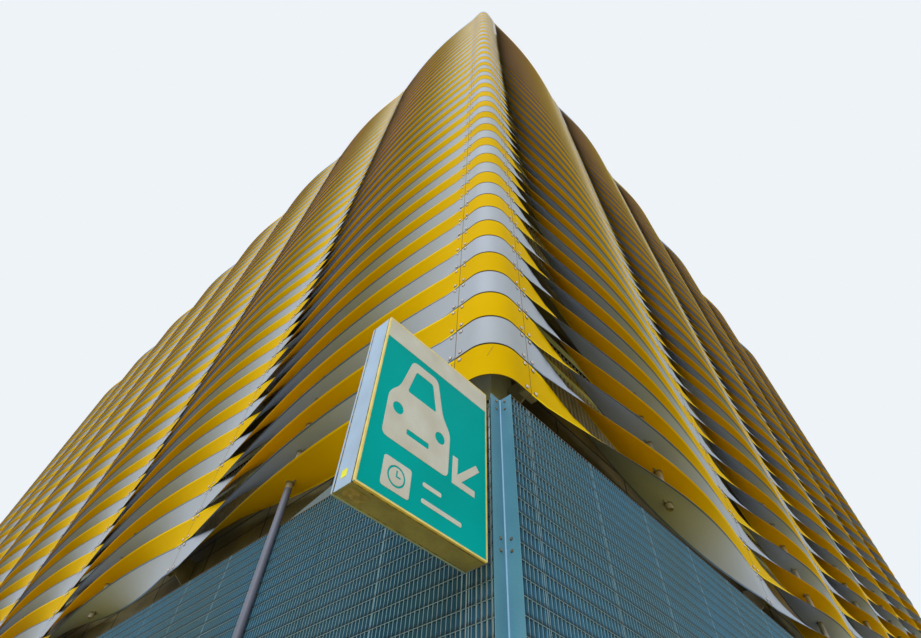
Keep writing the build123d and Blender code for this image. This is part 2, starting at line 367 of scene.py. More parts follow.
@dataclass(frozen=True)
class CoilCoatedSheet:
    """Coil-coated aluminium sheet: smooth paint with a low sheen, a little dull in places, with light and
    shade painted along its long edges as a rim.

    Attributes:
        name: The finish's name.
        paint: The colour of the paint.
        grime: The colour that dulls it, by a little from sheet to sheet and in wide patches.
        rim: The colour painted along the sheet's long edges as light and shade: edge light on the ribbons,
            the shadow in the gaps between rows on the rolled sheets.
        metallic: How metallic the paint is.
        specular: The level of its sheen.
        painted_rim_share: How strongly the rim's painted light and shade show.
        painted_rim_from: How far from the sheet's middle the rim starts, in millimetres.
        roughness: The roughness that it wanders about.
        painted_rim_blend: The width over which it sets in, in millimetres.
        tone_share: How much grime the dullest sheet has all over.
        patch: The width of the dull patches in millimetres.
        patch_share: How much grime they have.
        wave: The width of the sheet's slight waves in millimetres.
        wave_depth: Their depth in millimetres.
    """

    name: str
    paint: str
    grime: str
    rim: str
    metallic: float
    specular: float
    painted_rim_share: float
    painted_rim_from: float
    roughness: float = 0.5
    painted_rim_blend: float = 5
    tone_share: float = 0.10
    patch: float = 900
    patch_share: float = 0.16
    wave: float = 420
    wave_depth: float = 2.5

    def make(self) -> bpy.types.Material:
        """Build the finish.

        Returns:
            Its material.
        """
        surface = Surface(self.name, self.roughness, self.metallic, self.specular)
        add, rim = surface.add, (self.painted_rim_from * MM, (self.painted_rim_from + self.painted_rim_blend) * MM)
        tone = add("ShaderNodeAttribute", out="Fac", attribute_name="tone")
        sheet = add("ShaderNodeAttribute", out="Vector", attribute_name="sheet")
        across = add("ShaderNodeSeparateXYZ", {0: sheet}, 2)
        height = add(MATH, {0: across}, operation="ABSOLUTE")
        patches = surface.noise(self.patch * MM, 4.0)
        colour = surface.layered(linear(self.paint), self.grime, tone, 0.0, 1.0, self.tone_share)
        colour = surface.layered(colour, self.grime, patches, 0.45, 0.75, self.patch_share)
        # Painted light and shade along both long edges: the rim colour
        colour = surface.layered(colour, self.rim, height, *rim, self.painted_rim_share)
        low, high = self.roughness - 0.05, self.roughness + 0.08
        waves = surface.noise(self.wave * MM, 1.0)
        return surface.dressed(colour, patches, low, high, waves, self.wave_depth * MM)


@dataclass(frozen=True)
class SpeckledFinish:
    """A plain paint, plate or casting whose colour wanders between two tones, with fine relief.

    Attributes:
        name: The finish's name.
        colour: Its main colour.
        second: The colour of its patches and specks.
        patch: The width of the patches in millimetres.
        grain: The width of the specks in millimetres, as coarse as the render needs to show them.
        depth: The depth of its relief in millimetres.
        roughness: The roughness that it wanders about.
        metallic: How metallic it is.
        specular: The level of its sheen.
        stretch: How much longer the patches are along each axis.
        speck_share: How much of the second colour the specks have.
        rods: The distance between the level rods that a shadow is painted above, in millimetres, or 0 for
            none.
        rod_shadow: The colour of that painted shadow.
        rod_shadow_share: How much of it shows just above a rod.
    """

    name: str
    colour: str
    second: str
    patch: float
    grain: float
    depth: float
    roughness: float
    metallic: float = 0.0
    specular: float = 0.4
    stretch: Triple = (1.0, 1.0, 1.0)
    speck_share: float = 0.35
    rods: float = 0.0
    rod_shadow: str = "#33291a"
    rod_shadow_share: float = 0.8

    def _past_rod(self, surface: Surface) -> Any:
        """Tell how far a point is past the rod below it, as a share of the distance between rods.

        Args:
            surface: The finish under construction.

        Returns:
            The socket of that share.
        """
        height = surface.add("ShaderNodeSeparateXYZ", {0: surface.object}, 2)
        rods = {0: height, 1: 1 / (self.rods * MM), 2: -0.5}
        return surface.add(MATH, {0: surface.add(MATH, rods, operation="MULTIPLY_ADD")}, operation="FRACT")

    def make(self) -> bpy.types.Material:
        """Build the finish.

        Returns:
            Its material.
        """
        surface = Surface(self.name, self.roughness, self.metallic, self.specular)
        patches = surface.noise(self.patch * MM, 5.0, self.stretch)
        grain = surface.noise(self.grain * MM, 2.0)
        colour = surface.layered(linear(self.colour), self.second, patches, 0.35, 0.7)
        colour = surface.layered(colour, self.second, grain, 0.45, 0.8, self.speck_share)
        # Painted shadow: a dark band just above each rod
        if self.rods:
            past = self._past_rod(surface)
            colour = surface.layered(colour, self.rod_shadow, past, 0.34, 0.08, self.rod_shadow_share)
        low, high = self.roughness - 0.06, self.roughness + 0.06
        return surface.dressed(colour, grain, low, high, grain, self.depth * MM)


class Finish(Enum):
    """Every finish of the car park."""

    # Smooth chrome-yellow coating: bright, with a soft sheen and a bright yellow highlight painted along its
    # rim
    YELLOW = CoilCoatedSheet(
        "yellow_coil_coated_aluminium", "#dcb400", "#a07c00", "#ffdc00", 0.0, 0.01, 0.8, 172
    )
    # Silver coating with fine flake: cool and a little mirror-like, with a blue line painted along its rim as
    # the sky light on its edge
    SILVER = CoilCoatedSheet(
        "silver_coil_coated_aluminium", "#a8b2c4", "#968c62", "#34608f", 0.1, 0.12, 0.8, 172
    )
    # The rolled sheets have a dark rim painted as the shadow in the gap between rows
    ROLLED_YELLOW = CoilCoatedSheet(
        "rolled_yellow_aluminium", "#dcb400", "#a07c00", "#3a2c08", 0.0, 0.01, 0.85, 186
    )
    # The same painted shadow on the silver face: a near-black line along each gap
    ROLLED_SILVER = CoilCoatedSheet(
        "rolled_silver_aluminium", "#a8b2c4", "#968c62", "#20242c", 0.1, 0.12, 0.85, 186
    )
    # Paint rubbed through to a dull brown line
    SCUFF = SpeckledFinish("rubbed_paint", "#8a6c10", "#6e560e", 50, 10, 0.1, 0.7)
    # Sheared edges are painted dark as the shade between the sheets, so they outline each sheet
    EDGE = SpeckledFinish("shade_darkened_sheared_edge", "#6b6450", "#4c4636", 300, 20, 0.1, 0.5, 0.2)
    # Zinc-plated dome heads: pale metal, brightened near white as a painted highlight
    BOLT = SpeckledFinish("zinc_bolt_painted_highlight", "#e6e2ea", "#a8988a", 10, 3, 0.1, 0.4, 0.2)
    # Dark matt brown: rust on the angle bolts' washers and the grating's edge bars, and a painted shadow in
    # the ring at the foot of each joint bolt
    WASHER = SpeckledFinish("rust_and_painted_shadow_brown", "#5a4a36", "#3a3024", 20, 4, 0.2, 0.7, 0.2)
    # Hot-dip zinc shows as warm grey spangle with duller patches
    ZINC = SpeckledFinish("hot_dip_galvanised_steel", "#8f8a76", "#6f6a54", 250, 20, 0.1, 0.5, 0.3)
    # Shuttered concrete: olive brown, blotched by damp, with a grainy face
    CONCRETE = SpeckledFinish(
        "shuttered_concrete", "#8f8058", "#63573a", 1100, 30, 1.5, 0.85, stretch=(1.0, 1.0, 2.5)
    )
    # The beams' lining is painted a darker brown than the concrete, as the shade from the ribbons over it
    BEAM = SpeckledFinish("shade_darkened_beam_lining", "#5c5636", "#423c24", 500, 30, 1.0, 0.85)
    # Open joints of the lining are black lines; the same black strip is painted under the high rail as its
    # shadow
    JOINT = SpeckledFinish("black_joint_and_painted_shadow", "#17150e", "#0e0d09", 300, 30, 0.1, 0.8)
    # Cast corner columns are painted a near-white grey-green, paler than their own colour, as painted light
    # where they stand in the shade
    COLUMN = SpeckledFinish("painted_light_cast_column", "#e6ecdf", "#c0c6b6", 600, 30, 0.8, 0.7)
    # Thin strips in the sheet joints are painted olive gold, as the lit post seen through each gap
    STRIP = SpeckledFinish("painted_lit_gap_strip", "#7e682c", "#645022", 300, 20, 0.1, 0.7)
    # Guard steel stands in the shade: pale warm grey bars and mesh
    GUARD = SpeckledFinish("dull_guard_bar", "#b8b2a6", "#9e978a", 300, 30, 0.2, 0.6, 0.1)
    # Galvanised rails are a paler grey-green than the bars
    RAIL = SpeckledFinish("galvanised_guard_rail", "#c9d6bc", "#aab494", 400, 30, 0.2, 0.5, 0.1)
    # Brushed concrete: wide warm grey patches, dry and matt
    DECK = SpeckledFinish("brushed_concrete_deck", "#94886a", "#776c50", 1600, 40, 1.0, 0.8)
    # Powder-coated bars: blue, with a brown shadow painted just above each rod
    BAR = SpeckledFinish("blue_powder_coated_bar", "#437ea2", "#487386", 1300, 50, 0.2, 0.45, rods=100)
    # The same coating on the front edges, painted paler as the sky light they catch
    BAR_EDGE = SpeckledFinish("sky_lit_bar_edge", "#7a9fb2", "#7f9494", 1300, 30, 0.2, 0.5, rods=100)
    # Twisted rods whose coating has worn to grey-blue steel
    ROD = SpeckledFinish("weathered_steel_rod", "#66909e", "#6c8084", 200, 20, 0.2, 0.5, 0.1)
    # Stove enamel on pressed steel: blue-grey, satin
    ANGLE = SpeckledFinish("stove_enamelled_angle", "#5a93ae", "#4a7e98", 700, 10, 0.1, 0.4)
    # Bare galvanised plate in the shade: dull blue-grey
    PLATE = SpeckledFinish("dull_galvanised_plate", "#66787e", "#5a6668", 300, 20, 0.1, 0.5, 0.1)
    # A pale blue line painted along the fold as the highlight it catches
    FOLD = SpeckledFinish("painted_highlight_fold", "#8cb8de", "#7aa6cc", 300, 10, 0.1, 0.4)
    # Galvanised tubes: pale warm grey with brown patches
    TUBE = SpeckledFinish("weathered_tube", "#b8b2a8", "#958d7a", 250, 10, 0.1, 0.45, 0.2)
    # Painted tube: plain lilac grey with a slight sheen
    POLE = SpeckledFinish("lilac_grey_tube_paint", "#70748c", "#616678", 500, 10, 0.1, 0.4)
    # Back-painted acrylic: smooth even teal
    TEAL = SpeckledFinish("teal_acrylic_face", "#00abad", "#00a1a1", 500, 10, 0.02, 0.5, specular=0.02)
    # Cut vinyl: matt off-white, a little grey with age
    WHITE = SpeckledFinish("off_white_vinyl", "#d0d2ce", "#c4c1b8", 200, 10, 0.02, 0.6, specular=0.05)
    # Folded trim whose cream paint has yellowed
    TRIM = SpeckledFinish("aged_cream_trim", "#f0dc84", "#dcc66c", 70, 12, 0.2, 0.5)
    # The seam behind the trim, blotched with dark green mould
    SEAM = SpeckledFinish("mouldy_seam", "#a89a6a", "#3c3a18", 35, 12, 0.4, 0.8)
    # Stove enamel on the housing: pale blue, satin
    HOUSING = SpeckledFinish("pale_enamel_housing", "#a8c3e6", "#98afce", 300, 10, 0.1, 0.5)
    # Plain bright sticker film
    LABEL = SpeckledFinish("plain_yellow_film", "#f0f000", "#d8d400", 50, 5, 0.02, 0.4)
    # Dull cast metal, brownish and pitted
    COVER = SpeckledFinish("dull_cast_cover", "#aa9f78", "#857a54", 40, 10, 0.2, 0.6)
    # Enamel on the underside plate: olive, darker and warmer than the housing's sides
    SOFFIT = SpeckledFinish("olive_enamel_underside", "#9c9a78", "#828064", 200, 20, 0.1, 0.6)

    @property
    def material(self) -> bpy.types.Material:
        """The finish's material, made when it is first asked for."""
        return bpy.data.materials.get(self.value.name) or self.value.make()


class Tree(Nodes):
    """A geometry tree under construction, with named inputs and their values."""

    def __init__(self, name: str) -> None:
        """Start the tree with its inputs and output.

        Args:
            name: The tree's name.
        """
        super().__init__(bpy.data.node_groups.new(name, "GeometryNodeTree"))
        self.tree.interface.new_socket(name="Mesh", in_out="OUTPUT", socket_type="NodeSocketGeometry")
        self.entry = self.tree.nodes.new("NodeGroupInput")
        self.values: dict[str, Any] = {}

    def given(self, name: str, value: Any) -> Any:
        """Add a named input.

        Args:
            name: The input's name.
            value: Its value: a whole number, a length or a material.

        Returns:
            The socket inside the tree.
        """
        kinds = {int: "NodeSocketInt", float: "NodeSocketFloat", bpy.types.Material: "NodeSocketMaterial"}
        socket = self.tree.interface.new_socket(name=name, in_out="INPUT", socket_type=kinds[type(value)])
        self.values[socket.identifier] = value
        return self.entry.outputs[name]

    def cell(self, number: Any, across: Any) -> tuple[Any, Any]:
        """Find a running number's place in rows.

        Args:
            number: The running number, from 0.
            across: How many places a row has.

        Returns:
            The place in its row and the number of the row, both from 0.
        """
        place = self.add(MATH, {0: number, 1: across}, operation="FLOORED_MODULO")
        row = self.add(MATH, {0: number, 1: across}, operation="DIVIDE")
        return place, self.add(MATH, {0: row}, operation="FLOOR")

    def middle(self, number: Any, step: Any, start: Any = 0.0) -> Any:
        """Find the middle of one of a row of equal steps, counted from 0 at the start."""
        past = self.add(MATH, {0: number, 1: 0.5}, operation="ADD")
        return self.add(MATH, {0: past, 1: step, 2: start}, operation="MULTIPLY_ADD")

    def copies(
        self, number: Any, place: Any, shape: Any, turn: Any = (0.0, 0.0, 0.0), marks: dict | None = None
    ) -> Any:
        """Set copies of a shape at places worked out from their index.

        Args:
            number: How many copies there are.
            place: Where each one goes.
            shape: The shape's geometry.
            turn: How each one is turned.
            marks: Values that each one keeps, by their names.

        Returns:
            The copies' geometry.
        """
        points = self.add("GeometryNodePoints", {"Count": number, "Position": place})
        for name, value in (marks or {}).items():
            stored = {"Geometry": points, "Name": name, "Value": value}
            points = self.add("GeometryNodeStoreNamedAttribute", stored, data_type="FLOAT", domain="POINT")
        set_out = {"Points": points, "Instance": shape, "Rotation": turn}
        copies = self.add("GeometryNodeInstanceOnPoints", set_out)
        return self.add("GeometryNodeRealizeInstances", {0: copies})

    def painted(self, geometry: Any, *coats: tuple[str, Finish, Any]) -> Any:
        """Lay finishes over a geometry, one after the other.

        Args:
            geometry: What takes them.
            coats: For each finish, the name of its input, the finish and the faces that it covers.

        Returns:
            The geometry with its materials.
        """
        for label, finish, faces in coats:
            coat = {"Geometry": geometry, "Selection": faces, "Material": self.given(label, finish.material)}
            geometry = self.add("GeometryNodeSetMaterial", coat)
        return geometry

    def boxes(self, label: str, number: Any, size: Any, place: Any, finish: Finish) -> Any:
        """Set like boxes, in one finish, at places worked out from their index."""
        box = self.add("GeometryNodeMeshCube", {"Size": size})
        return self.painted(self.copies(number, place, box), (label, finish, True))

    def smooth(self, geometry: Any) -> Any:
        """Shade a geometry smooth, apart from its sharp edges.

        Args:
            geometry: The geometry.

        Returns:
            The geometry with its shading set.
        """
        angle = self.add("GeometryNodeInputMeshEdgeAngle")
        sharp = self.add("FunctionNodeCompare", {0: angle, 1: SHARP_EDGE}, operation="GREATER_THAN")
        for where, shaded, domain in ((True, True, "FACE"), (sharp, False, "EDGE")):
            shading = {0: geometry, "Selection": where, "Shade Smooth": shaded}
            geometry = self.add("GeometryNodeSetShadeSmooth", shading, domain=domain)
        return geometry

    def mesh(self, name: str, geometry: Any) -> bpy.types.Object:
        """Run the tree on an empty mesh and keep what it makes as a plain mesh.

        Args:
            name: The piece's name.
            geometry: The socket that ends the tree.

        Returns:
            The piece, with no modifier left on it.
        """
        add_node(self.tree, "NodeGroupOutput", {0: geometry})
        carrier = new_object(f"{name}_carrier", bpy.data.meshes.new(f"{name}_carrier"))
        modifier = carrier.modifiers.new("make", "NODES")
        modifier.node_group = self.tree
        for identifier, value in self.values.items():
            modifier[identifier] = value
        mesh = baked(carrier)
        mesh.name = name
        if mesh.materials and mesh.materials[0] is None:
            slots = [0] * len(mesh.polygons)
            mesh.polygons.foreach_get("material_index", slots)
            mesh.materials.pop(index=0)
            mesh.polygons.foreach_set("material_index", [max(slot - 1, 0) for slot in slots])
        return new_object(name, mesh)


@dataclass(frozen=True)
class SheetField:
    """Rows of two-colour sheets: twisted ribbons along a side, or rolled ones round a corner.

    Attributes:
        block: The block's sizes.
        gap: The gap between two sheets at a joint.
        tab: How much of each end lies flat, measured from the joint.
        steps: The runs along a twisted sheet.
        corner_steps: The runs along a rolled one.
        skin: How far the rolled sheets stand proud of the solids that carry them.
        seed: What the sheets' random tones start from.
        scuff_width: The width of the scuff.
        scuff_depth: How far it stands out of the sheet's face and into it.
        scuff_length: Its length round the bend.
        scuff_high: The height of its upper end over the first row's start.
        scuff_low: The height of its lower end.
        scuff_rings: The sections along it.
    """

    block: Block
    gap: float = 10 * MM
    tab: float = 150 * MM
    steps: int = 24
    corner_steps: int = 20
    skin: float = 0.8 * MM
    seed: int = 7
    scuff_width: float = 7 * MM
    scuff_depth: float = 1.5 * MM
    scuff_length: float = 56 * MM
    scuff_high: float = 363 * MM
    scuff_low: float = 236 * MM
    scuff_rings: int = 5

    def _sheets(self, tree: Tree, length: float, bays: int, rolled: bool) -> Any:
        """Build the field of sheets inside a tree.

        Args:
            tree: The tree to build in.
            length: The distance from joint to joint along the sheets.
            bays: How many sheets stand side by side.
            rolled: Whether a sheet is rolled round a corner, or twisted half a turn.

        Returns:
            The geometry of all the sheets.
        """
        given, add, block = tree.given, tree.add, self.block
        joint, gap = given("Joint to joint", length), given("Joint gap", self.gap)
        width, thickness = given("Width", block.sheet_width), given("Thickness", block.sheet_thickness)
        pitch, base = given("Row pitch", block.pitch), given("Base", block.base)
        across, rows = given("Bays", bays), given("Rows", block.rows)
        steps, seed = given("Steps", self.corner_steps if rolled else self.steps), given("Seed", self.seed)
        if rolled:
            skin = given("Skin", self.skin)
            width, thickness = (
                add(MATH, {0: skin, 1: 2.0, 2: size}, operation="MULTIPLY_ADD")
                for size in (width, thickness)
            )
        long = add(MATH, {0: joint, 1: gap}, operation="SUBTRACT")
        size = add("ShaderNodeCombineXYZ", {0: long, 1: thickness, 2: width})
        ends = add(MATH, {0: steps, 1: 1.0}, operation="ADD")
        box = {"Size": size, "Vertices X": ends, "Vertices Y": 2, "Vertices Z": 2}
        sheet = add("GeometryNodeMeshCube", box)
        at = add("GeometryNodeInputPosition")
        facing = add("ShaderNodeSeparateXYZ", {0: add("GeometryNodeInputNormal")}, 1)
        for name, value, kind, domain in (
            ("facing", facing, "FLOAT", "FACE"),
            ("sheet", at, "FLOAT_VECTOR", "POINT"),
        ):
            stored = {"Geometry": sheet, "Name": name, "Value": value}
            sheet = add("GeometryNodeStoreNamedAttribute", stored, data_type=kind, domain=domain)
        turned = self._rolled(tree, at) if rolled else self._twisted(tree, at, joint)
        sheet = add("GeometryNodeSetPosition", {"Geometry": sheet, "Position": turned})
        index = add("GeometryNodeInputIndex")
        column, row = tree.cell(index, across)
        x = 0.0 if rolled else tree.middle(column, joint)
        place = add("ShaderNodeCombineXYZ", {0: x, 2: tree.middle(row, pitch, base)})
        count = add(MATH, {0: rows, 1: across}, operation="MULTIPLY")
        parity = add(MATH, {0: row, 1: column}, operation="ADD")
        parity = add(MATH, {0: parity, 1: 2.0}, operation="FLOORED_MODULO")
        tone = add("FunctionNodeRandomValue", {"ID": index, "Seed": seed}, 1)
        sheets = tree.copies(count, place, sheet, marks={"parity": parity, "tone": tone})
        return self._coloured(tree, sheets, rolled)

    def _twisted(self, tree: Tree, at: Any, joint: Any) -> Any:
        """Turn a point about the sheet's centre line, half a turn from tab to tab.

        Args:
            tree: The tree to build in.
            at: The point on the flat sheet.
            joint: The distance from joint to joint.

        Returns:
            The turned point.
        """
        add = tree.add
        along = add("ShaderNodeSeparateXYZ", {0: at})
        half = add(MATH, {0: joint, 1: 0.5}, operation="MULTIPLY")
        reach = add(MATH, {0: half, 1: tree.given("Tab", self.tab)}, operation="SUBTRACT")
        back = add(MATH, {0: reach, 1: -1.0}, operation="MULTIPLY")
        ramp = {"Value": along, "From Min": back, "From Max": reach, "To Min": 0.0, "To Max": -math.pi}
        turned = {"Vector": at, "Angle": add("ShaderNodeMapRange", ramp)}
        return add("ShaderNodeVectorRotate", turned, rotation_type="X_AXIS")

    def _rolled(self, tree: Tree, at: Any) -> Any:
        """Bend a point round the corner: flat from each joint to the bend, then along its arc.

        Args:
            tree: The tree to build in.
            at: The point on the flat sheet.

        Returns:
            The point on the rolled sheet.
        """
        add = tree.add
        bend, flat = tree.given("Bend radius", self.block.bend), tree.given("Flat", self.block.flat)
        split = add_node(tree.tree, "ShaderNodeSeparateXYZ", {0: at}).outputs
        half = add(MATH, {0: bend, 1: math.pi / 4}, operation="MULTIPLY")
        back = add(MATH, {0: half, 1: -1.0}, operation="MULTIPLY")
        along = add("ShaderNodeClamp", {0: split[0], 1: back, 2: half})
        past = add(MATH, {0: split[0], 1: along}, operation="SUBTRACT")
        turn = add(MATH, {0: along, 1: bend}, operation="DIVIDE")
        turn = add(MATH, {0: turn, 1: BEND_MIDDLE}, operation="ADD")
        radius = add(MATH, {0: bend, 1: split[1]}, operation="SUBTRACT")
        reached = {"Vector": add("ShaderNodeCombineXYZ", {0: radius, 1: past, 2: split[2]}), "Angle": turn}
        swung = add("ShaderNodeVectorRotate", reached, rotation_type="Z_AXIS")
        middle = add(MATH, {0: flat, 1: -1.0}, operation="MULTIPLY")
        middle = add("ShaderNodeCombineXYZ", {0: middle, 1: middle})
        return add("ShaderNodeVectorMath", {0: swung, 1: middle}, operation="ADD")

    def _coloured(self, tree: Tree, sheets: Any, rolled: bool) -> Any:
        """Give each sheet its two colours, swapped from row to row and from bay to bay.

        Args:
            tree: The tree to build in.
            sheets: The geometry of the sheets.
            rolled: Whether they are the rolled ones.

        Returns:
            Their geometry with materials and shading.
        """
        add = tree.add
        facing, parity = (
            add("GeometryNodeInputNamedAttribute", {"Name": name}, data_type="FLOAT")
            for name in ("facing", "parity")
        )
        sign = add(MATH, {0: parity, 1: 2.0, 2: -1.0}, operation="MULTIPLY_ADD")
        side = add(MATH, {0: facing, 1: sign}, operation="MULTIPLY")
        is_yellow = add("FunctionNodeCompare", {0: side, 1: 0.5}, operation="GREATER_THAN")
        is_silver = add("FunctionNodeCompare", {0: side, 1: -0.5}, operation="LESS_THAN")
        # The sheets' thin edges take the dark edge finish, painted as shade
        coats = (
            ("Edge finish", Finish.EDGE, True),
            ("Yellow finish", Finish.ROLLED_YELLOW if rolled else Finish.YELLOW, is_yellow),
            ("Silver finish", Finish.ROLLED_SILVER if rolled else Finish.SILVER, is_silver),
        )
        return tree.smooth(tree.painted(sheets, *coats))

    def side(self, side: Side) -> None:
        """Make one side's ribbons, which stand for the side's ribbon nodes.

        Args:
            side: The side.
        """
        tree, name = Tree("twisted_ribbons"), f"{side.label}_ribbons"
        piece = tree.mesh(name, self._sheets(tree, self.block.bay, self.block.bays(side), rolled=False))
        settled(piece, self.block.place(side), "ribbon_sheet", f"{name}_lower", f"{name}_upper")

    def corner(self, corner: Corner) -> None:
        """Make one corner's rolled sheets.

        Args:
            corner: The corner.
        """
        tree, name = Tree("rolled_sheets"), f"{corner.label}_rolled_sheets"
        piece = tree.mesh(name, self._sheets(tree, self.block.corner_length, 1, rolled=True))
        settled(piece, self.block.corner_place(corner), "corner_sheet")

    def scuff(self) -> None:
        """Lay the thin slanting scuff on the bend of the lowest sheet beside the sign."""
        block, wide, deep = self.block, self.scuff_width, self.scuff_depth
        section = ((-deep, -wide), (deep, -wide), (deep, wide), (-deep, wide))
        high, low = block.base + self.scuff_high, block.base + self.scuff_low
        face, shape, rings = block.bend + block.sheet_thickness / 2, bmesh.new(), []
        for step in range(self.scuff_rings):
            share = step / (self.scuff_rings - 1)
            turn = BEND_MIDDLE - share * self.scuff_length / block.bend
            z = high + (low - high) * share
            ring = []
            for out, up in section:
                x, y = ((face + out) * way(turn) - block.flat for way in (math.cos, math.sin))
                ring.append(shape.verts.new((x, y, z + up / 2)))
            rings.append(ring)
        for first, second in zip(rings, rings[1:]):
            for number in range(len(section)):
                after = (number + 1) % len(section)
                shape.faces.new((first[number], first[after], second[after], second[number]))
        shape.faces.new(rings[0][::-1])
        shape.faces.new(rings[-1])
        bmesh.ops.recalc_face_normals(shape, faces=shape.faces[:])
        mesh = bpy.data.meshes.new("corner_sheet_scuff")
        shape.to_mesh(mesh)
        shape.free()
        mesh.materials.append(Finish.SCUFF.material)
        settled(new_object(mesh.name, mesh), block.corner_place(Corner.FRONT_LEFT), "corner_sheet")


@dataclass(frozen=True)
class JointBolts:
    """The dome-headed bolts that hold each sheet end to its post, two an end, and the joint strips painted as
    the lit post behind each gap.

    Attributes:
        block: The block's sizes.
        head: The radius of a head at its foot.
        crown: Its radius at the top.
        height: Its height with the washer.
        sides: How many sides it has.
        rings: How many bands its side has, for the washer, the head and the dome.
        washer_share: The part of the height that is the washer.
        dome_from: The part of the height where the dome starts.
        dome_share: How much the top draws in.
        from_joint: How far a bolt is from its joint.
        from_edge: How far it is from the sheet's long edge.
        strip: The width of a joint strip.
        strip_depth: Its thickness.
    """

    block: Block
    head: float = 25 * MM
    crown: float = 9 * MM
    height: float = 15 * MM
    sides: int = 6
    rings: int = 3
    # washer_share: The part of the height that is the washer, painted dark brown as the shadow round the
    # head.
    washer_share: float = 0.3
    dome_from: float = 0.66
    dome_share: float = 0.8
    from_joint: float = 60 * MM
    from_edge: float = 48 * MM
    strip: float = 12 * MM
    strip_depth: float = 3 * MM

    def _head(self, tree: Tree) -> Any:
        """Make one head on its washer: a cone whose middle swells to a dome, standing out along -Y.

        Args:
            tree: The tree to build in.

        Returns:
            The head's geometry.
        """
        given, add = tree.given, tree.add
        foot, top = given("Head radius", self.head), given("Crown radius", self.crown)
        tall = given("Height", self.height)
        cone = {"Vertices": self.sides, "Side Segments": self.rings}
        head = add("GeometryNodeMeshCone", cone | {"Radius Bottom": foot, "Radius Top": top, "Depth": tall})
        at = add("GeometryNodeInputPosition")
        share = add(MATH, {0: add("ShaderNodeSeparateXYZ", {0: at}, 2), 1: tall}, operation="DIVIDE")
        raised = add("FunctionNodeCompare", {0: share, 1: self.washer_share}, operation="GREATER_THAN")
        # The washer band is painted dark brown as the shadow round the head
        coats = (("Washer finish", Finish.WASHER, True), ("Bolt finish", Finish.BOLT, raised))
        head = tree.painted(head, *coats)
        ramp = {"Value": share, "From Min": self.dome_from, "To Min": 1.0, "To Max": self.dome_share}
        swell = add("ShaderNodeMapRange", ramp)
        scale = add("ShaderNodeCombineXYZ", {0: swell, 1: swell, 2: 1.0})
        domed = add("ShaderNodeVectorMath", {0: at, 1: scale}, operation="MULTIPLY")
        head = add("GeometryNodeSetPosition", {"Geometry": head, "Position": domed})
        return add("GeometryNodeTransform", {"Geometry": head, "Rotation": (math.pi / 2, 0, 0)})

    def _field(self, tree: Tree, length: float, bays: int, rolled: bool) -> Any:
        """Set a head at both edges of both ends of every sheet.

        Args:
            tree: The tree to build in.
            length: The distance from joint to joint along the sheets.
            bays: How many sheets stand side by side.
            rolled: Whether they are rolled round a corner, so that their ends face two ways.

        Returns:
            The geometry of all the heads.
        """
        given, add, block = tree.given, tree.add, self.block
        joint, across = given("Joint to joint", length), given("Bays", bays)
        rows, pitch = given("Rows", block.rows), given("Row pitch", block.pitch)
        base, inset = given("Base", block.base), given("From joint", self.from_joint)
        out = given("Face", -block.sheet_thickness / 2)
        reach = given("From middle", block.sheet_width / 2 - self.from_edge)
        end, pair = tree.cell(add("GeometryNodeInputIndex"), 2.0)
        level, sheet = tree.cell(pair, 2.0)
        column, row = tree.cell(sheet, across)
        edge = add(MATH, {0: level, 1: 2.0, 2: -1.0}, operation="MULTIPLY_ADD")
        z = add(MATH, {0: edge, 1: reach, 2: tree.middle(row, pitch, base)}, operation="MULTIPLY_ADD")
        turn: Any = 0.0
        if rolled:
            face = add(MATH, {0: given("Reach", block.reach), 1: out}, operation="SUBTRACT")
            ahead = add(MATH, {0: face, 1: inset}, operation="SUBTRACT")
            x = add(MATH, {0: end, 1: ahead}, operation="MULTIPLY")
            y = add(MATH, {0: 0.0, 1: x}, operation="SUBTRACT")
            x = add(MATH, {0: x, 1: face}, operation="SUBTRACT")
            y = add(MATH, {0: y, 1: inset}, operation="SUBTRACT")
            turn = add(MATH, {0: end, 1: math.pi / 2, 2: -math.pi / 2}, operation="MULTIPLY_ADD")
        else:
            span = add(MATH, {0: inset, 1: -2.0, 2: joint}, operation="MULTIPLY_ADD")
            x = add(MATH, {0: end, 1: span, 2: inset}, operation="MULTIPLY_ADD")
            x = add(MATH, {0: column, 1: joint, 2: x}, operation="MULTIPLY_ADD")
            y = out
        count = add(MATH, {0: rows, 1: across}, operation="MULTIPLY")
        count = add(MATH, {0: count, 1: 4.0}, operation="MULTIPLY")
        place = add("ShaderNodeCombineXYZ", {0: x, 1: y, 2: z})
        return tree.copies(count, place, self._head(tree), add("ShaderNodeCombineXYZ", {2: turn}))

    def _strips(self, tree: Tree, bays: int) -> Any:
        """Fill the joints of a side with thin strips, a little behind the faces of the sheets, painted as the
        lit post seen through each gap.

        Args:
            tree: The tree to build in.
            bays: How many sheets stand side by side.

        Returns:
            The geometry of the strips.
        """
        given, add = tree.given, tree.add
        tall = self.block.rows * self.block.pitch
        step = {0: add("GeometryNodeInputIndex"), 1: given("Joint pitch", self.block.bay)}
        wide, high = given("Strip", self.strip), given("Strip height", tall)
        size = add("ShaderNodeCombineXYZ", {0: wide, 1: self.strip_depth, 2: high})
        middle = given("Strip middle", self.block.base + tall / 2)
        place = add("ShaderNodeCombineXYZ", {0: add(MATH, step, operation="MULTIPLY"), 2: middle})
        return tree.boxes("Strip finish", given("Joints", bays + 1), size, place, Finish.STRIP)

    def side(self, side: Side) -> None:
        """Make one side's bolts and joint strips.

        Args:
            side: The side.
        """
        tree, bays = Tree("ribbon_bolts"), self.block.bays(side)
        parts = [self._field(tree, self.block.bay, bays, rolled=False), self._strips(tree, bays)]
        piece = tree.mesh(f"{side.label}_ribbon_bolts", tree.add("GeometryNodeJoinGeometry", {0: parts}))
        settled(piece, self.block.place(side), "bracket_steel")

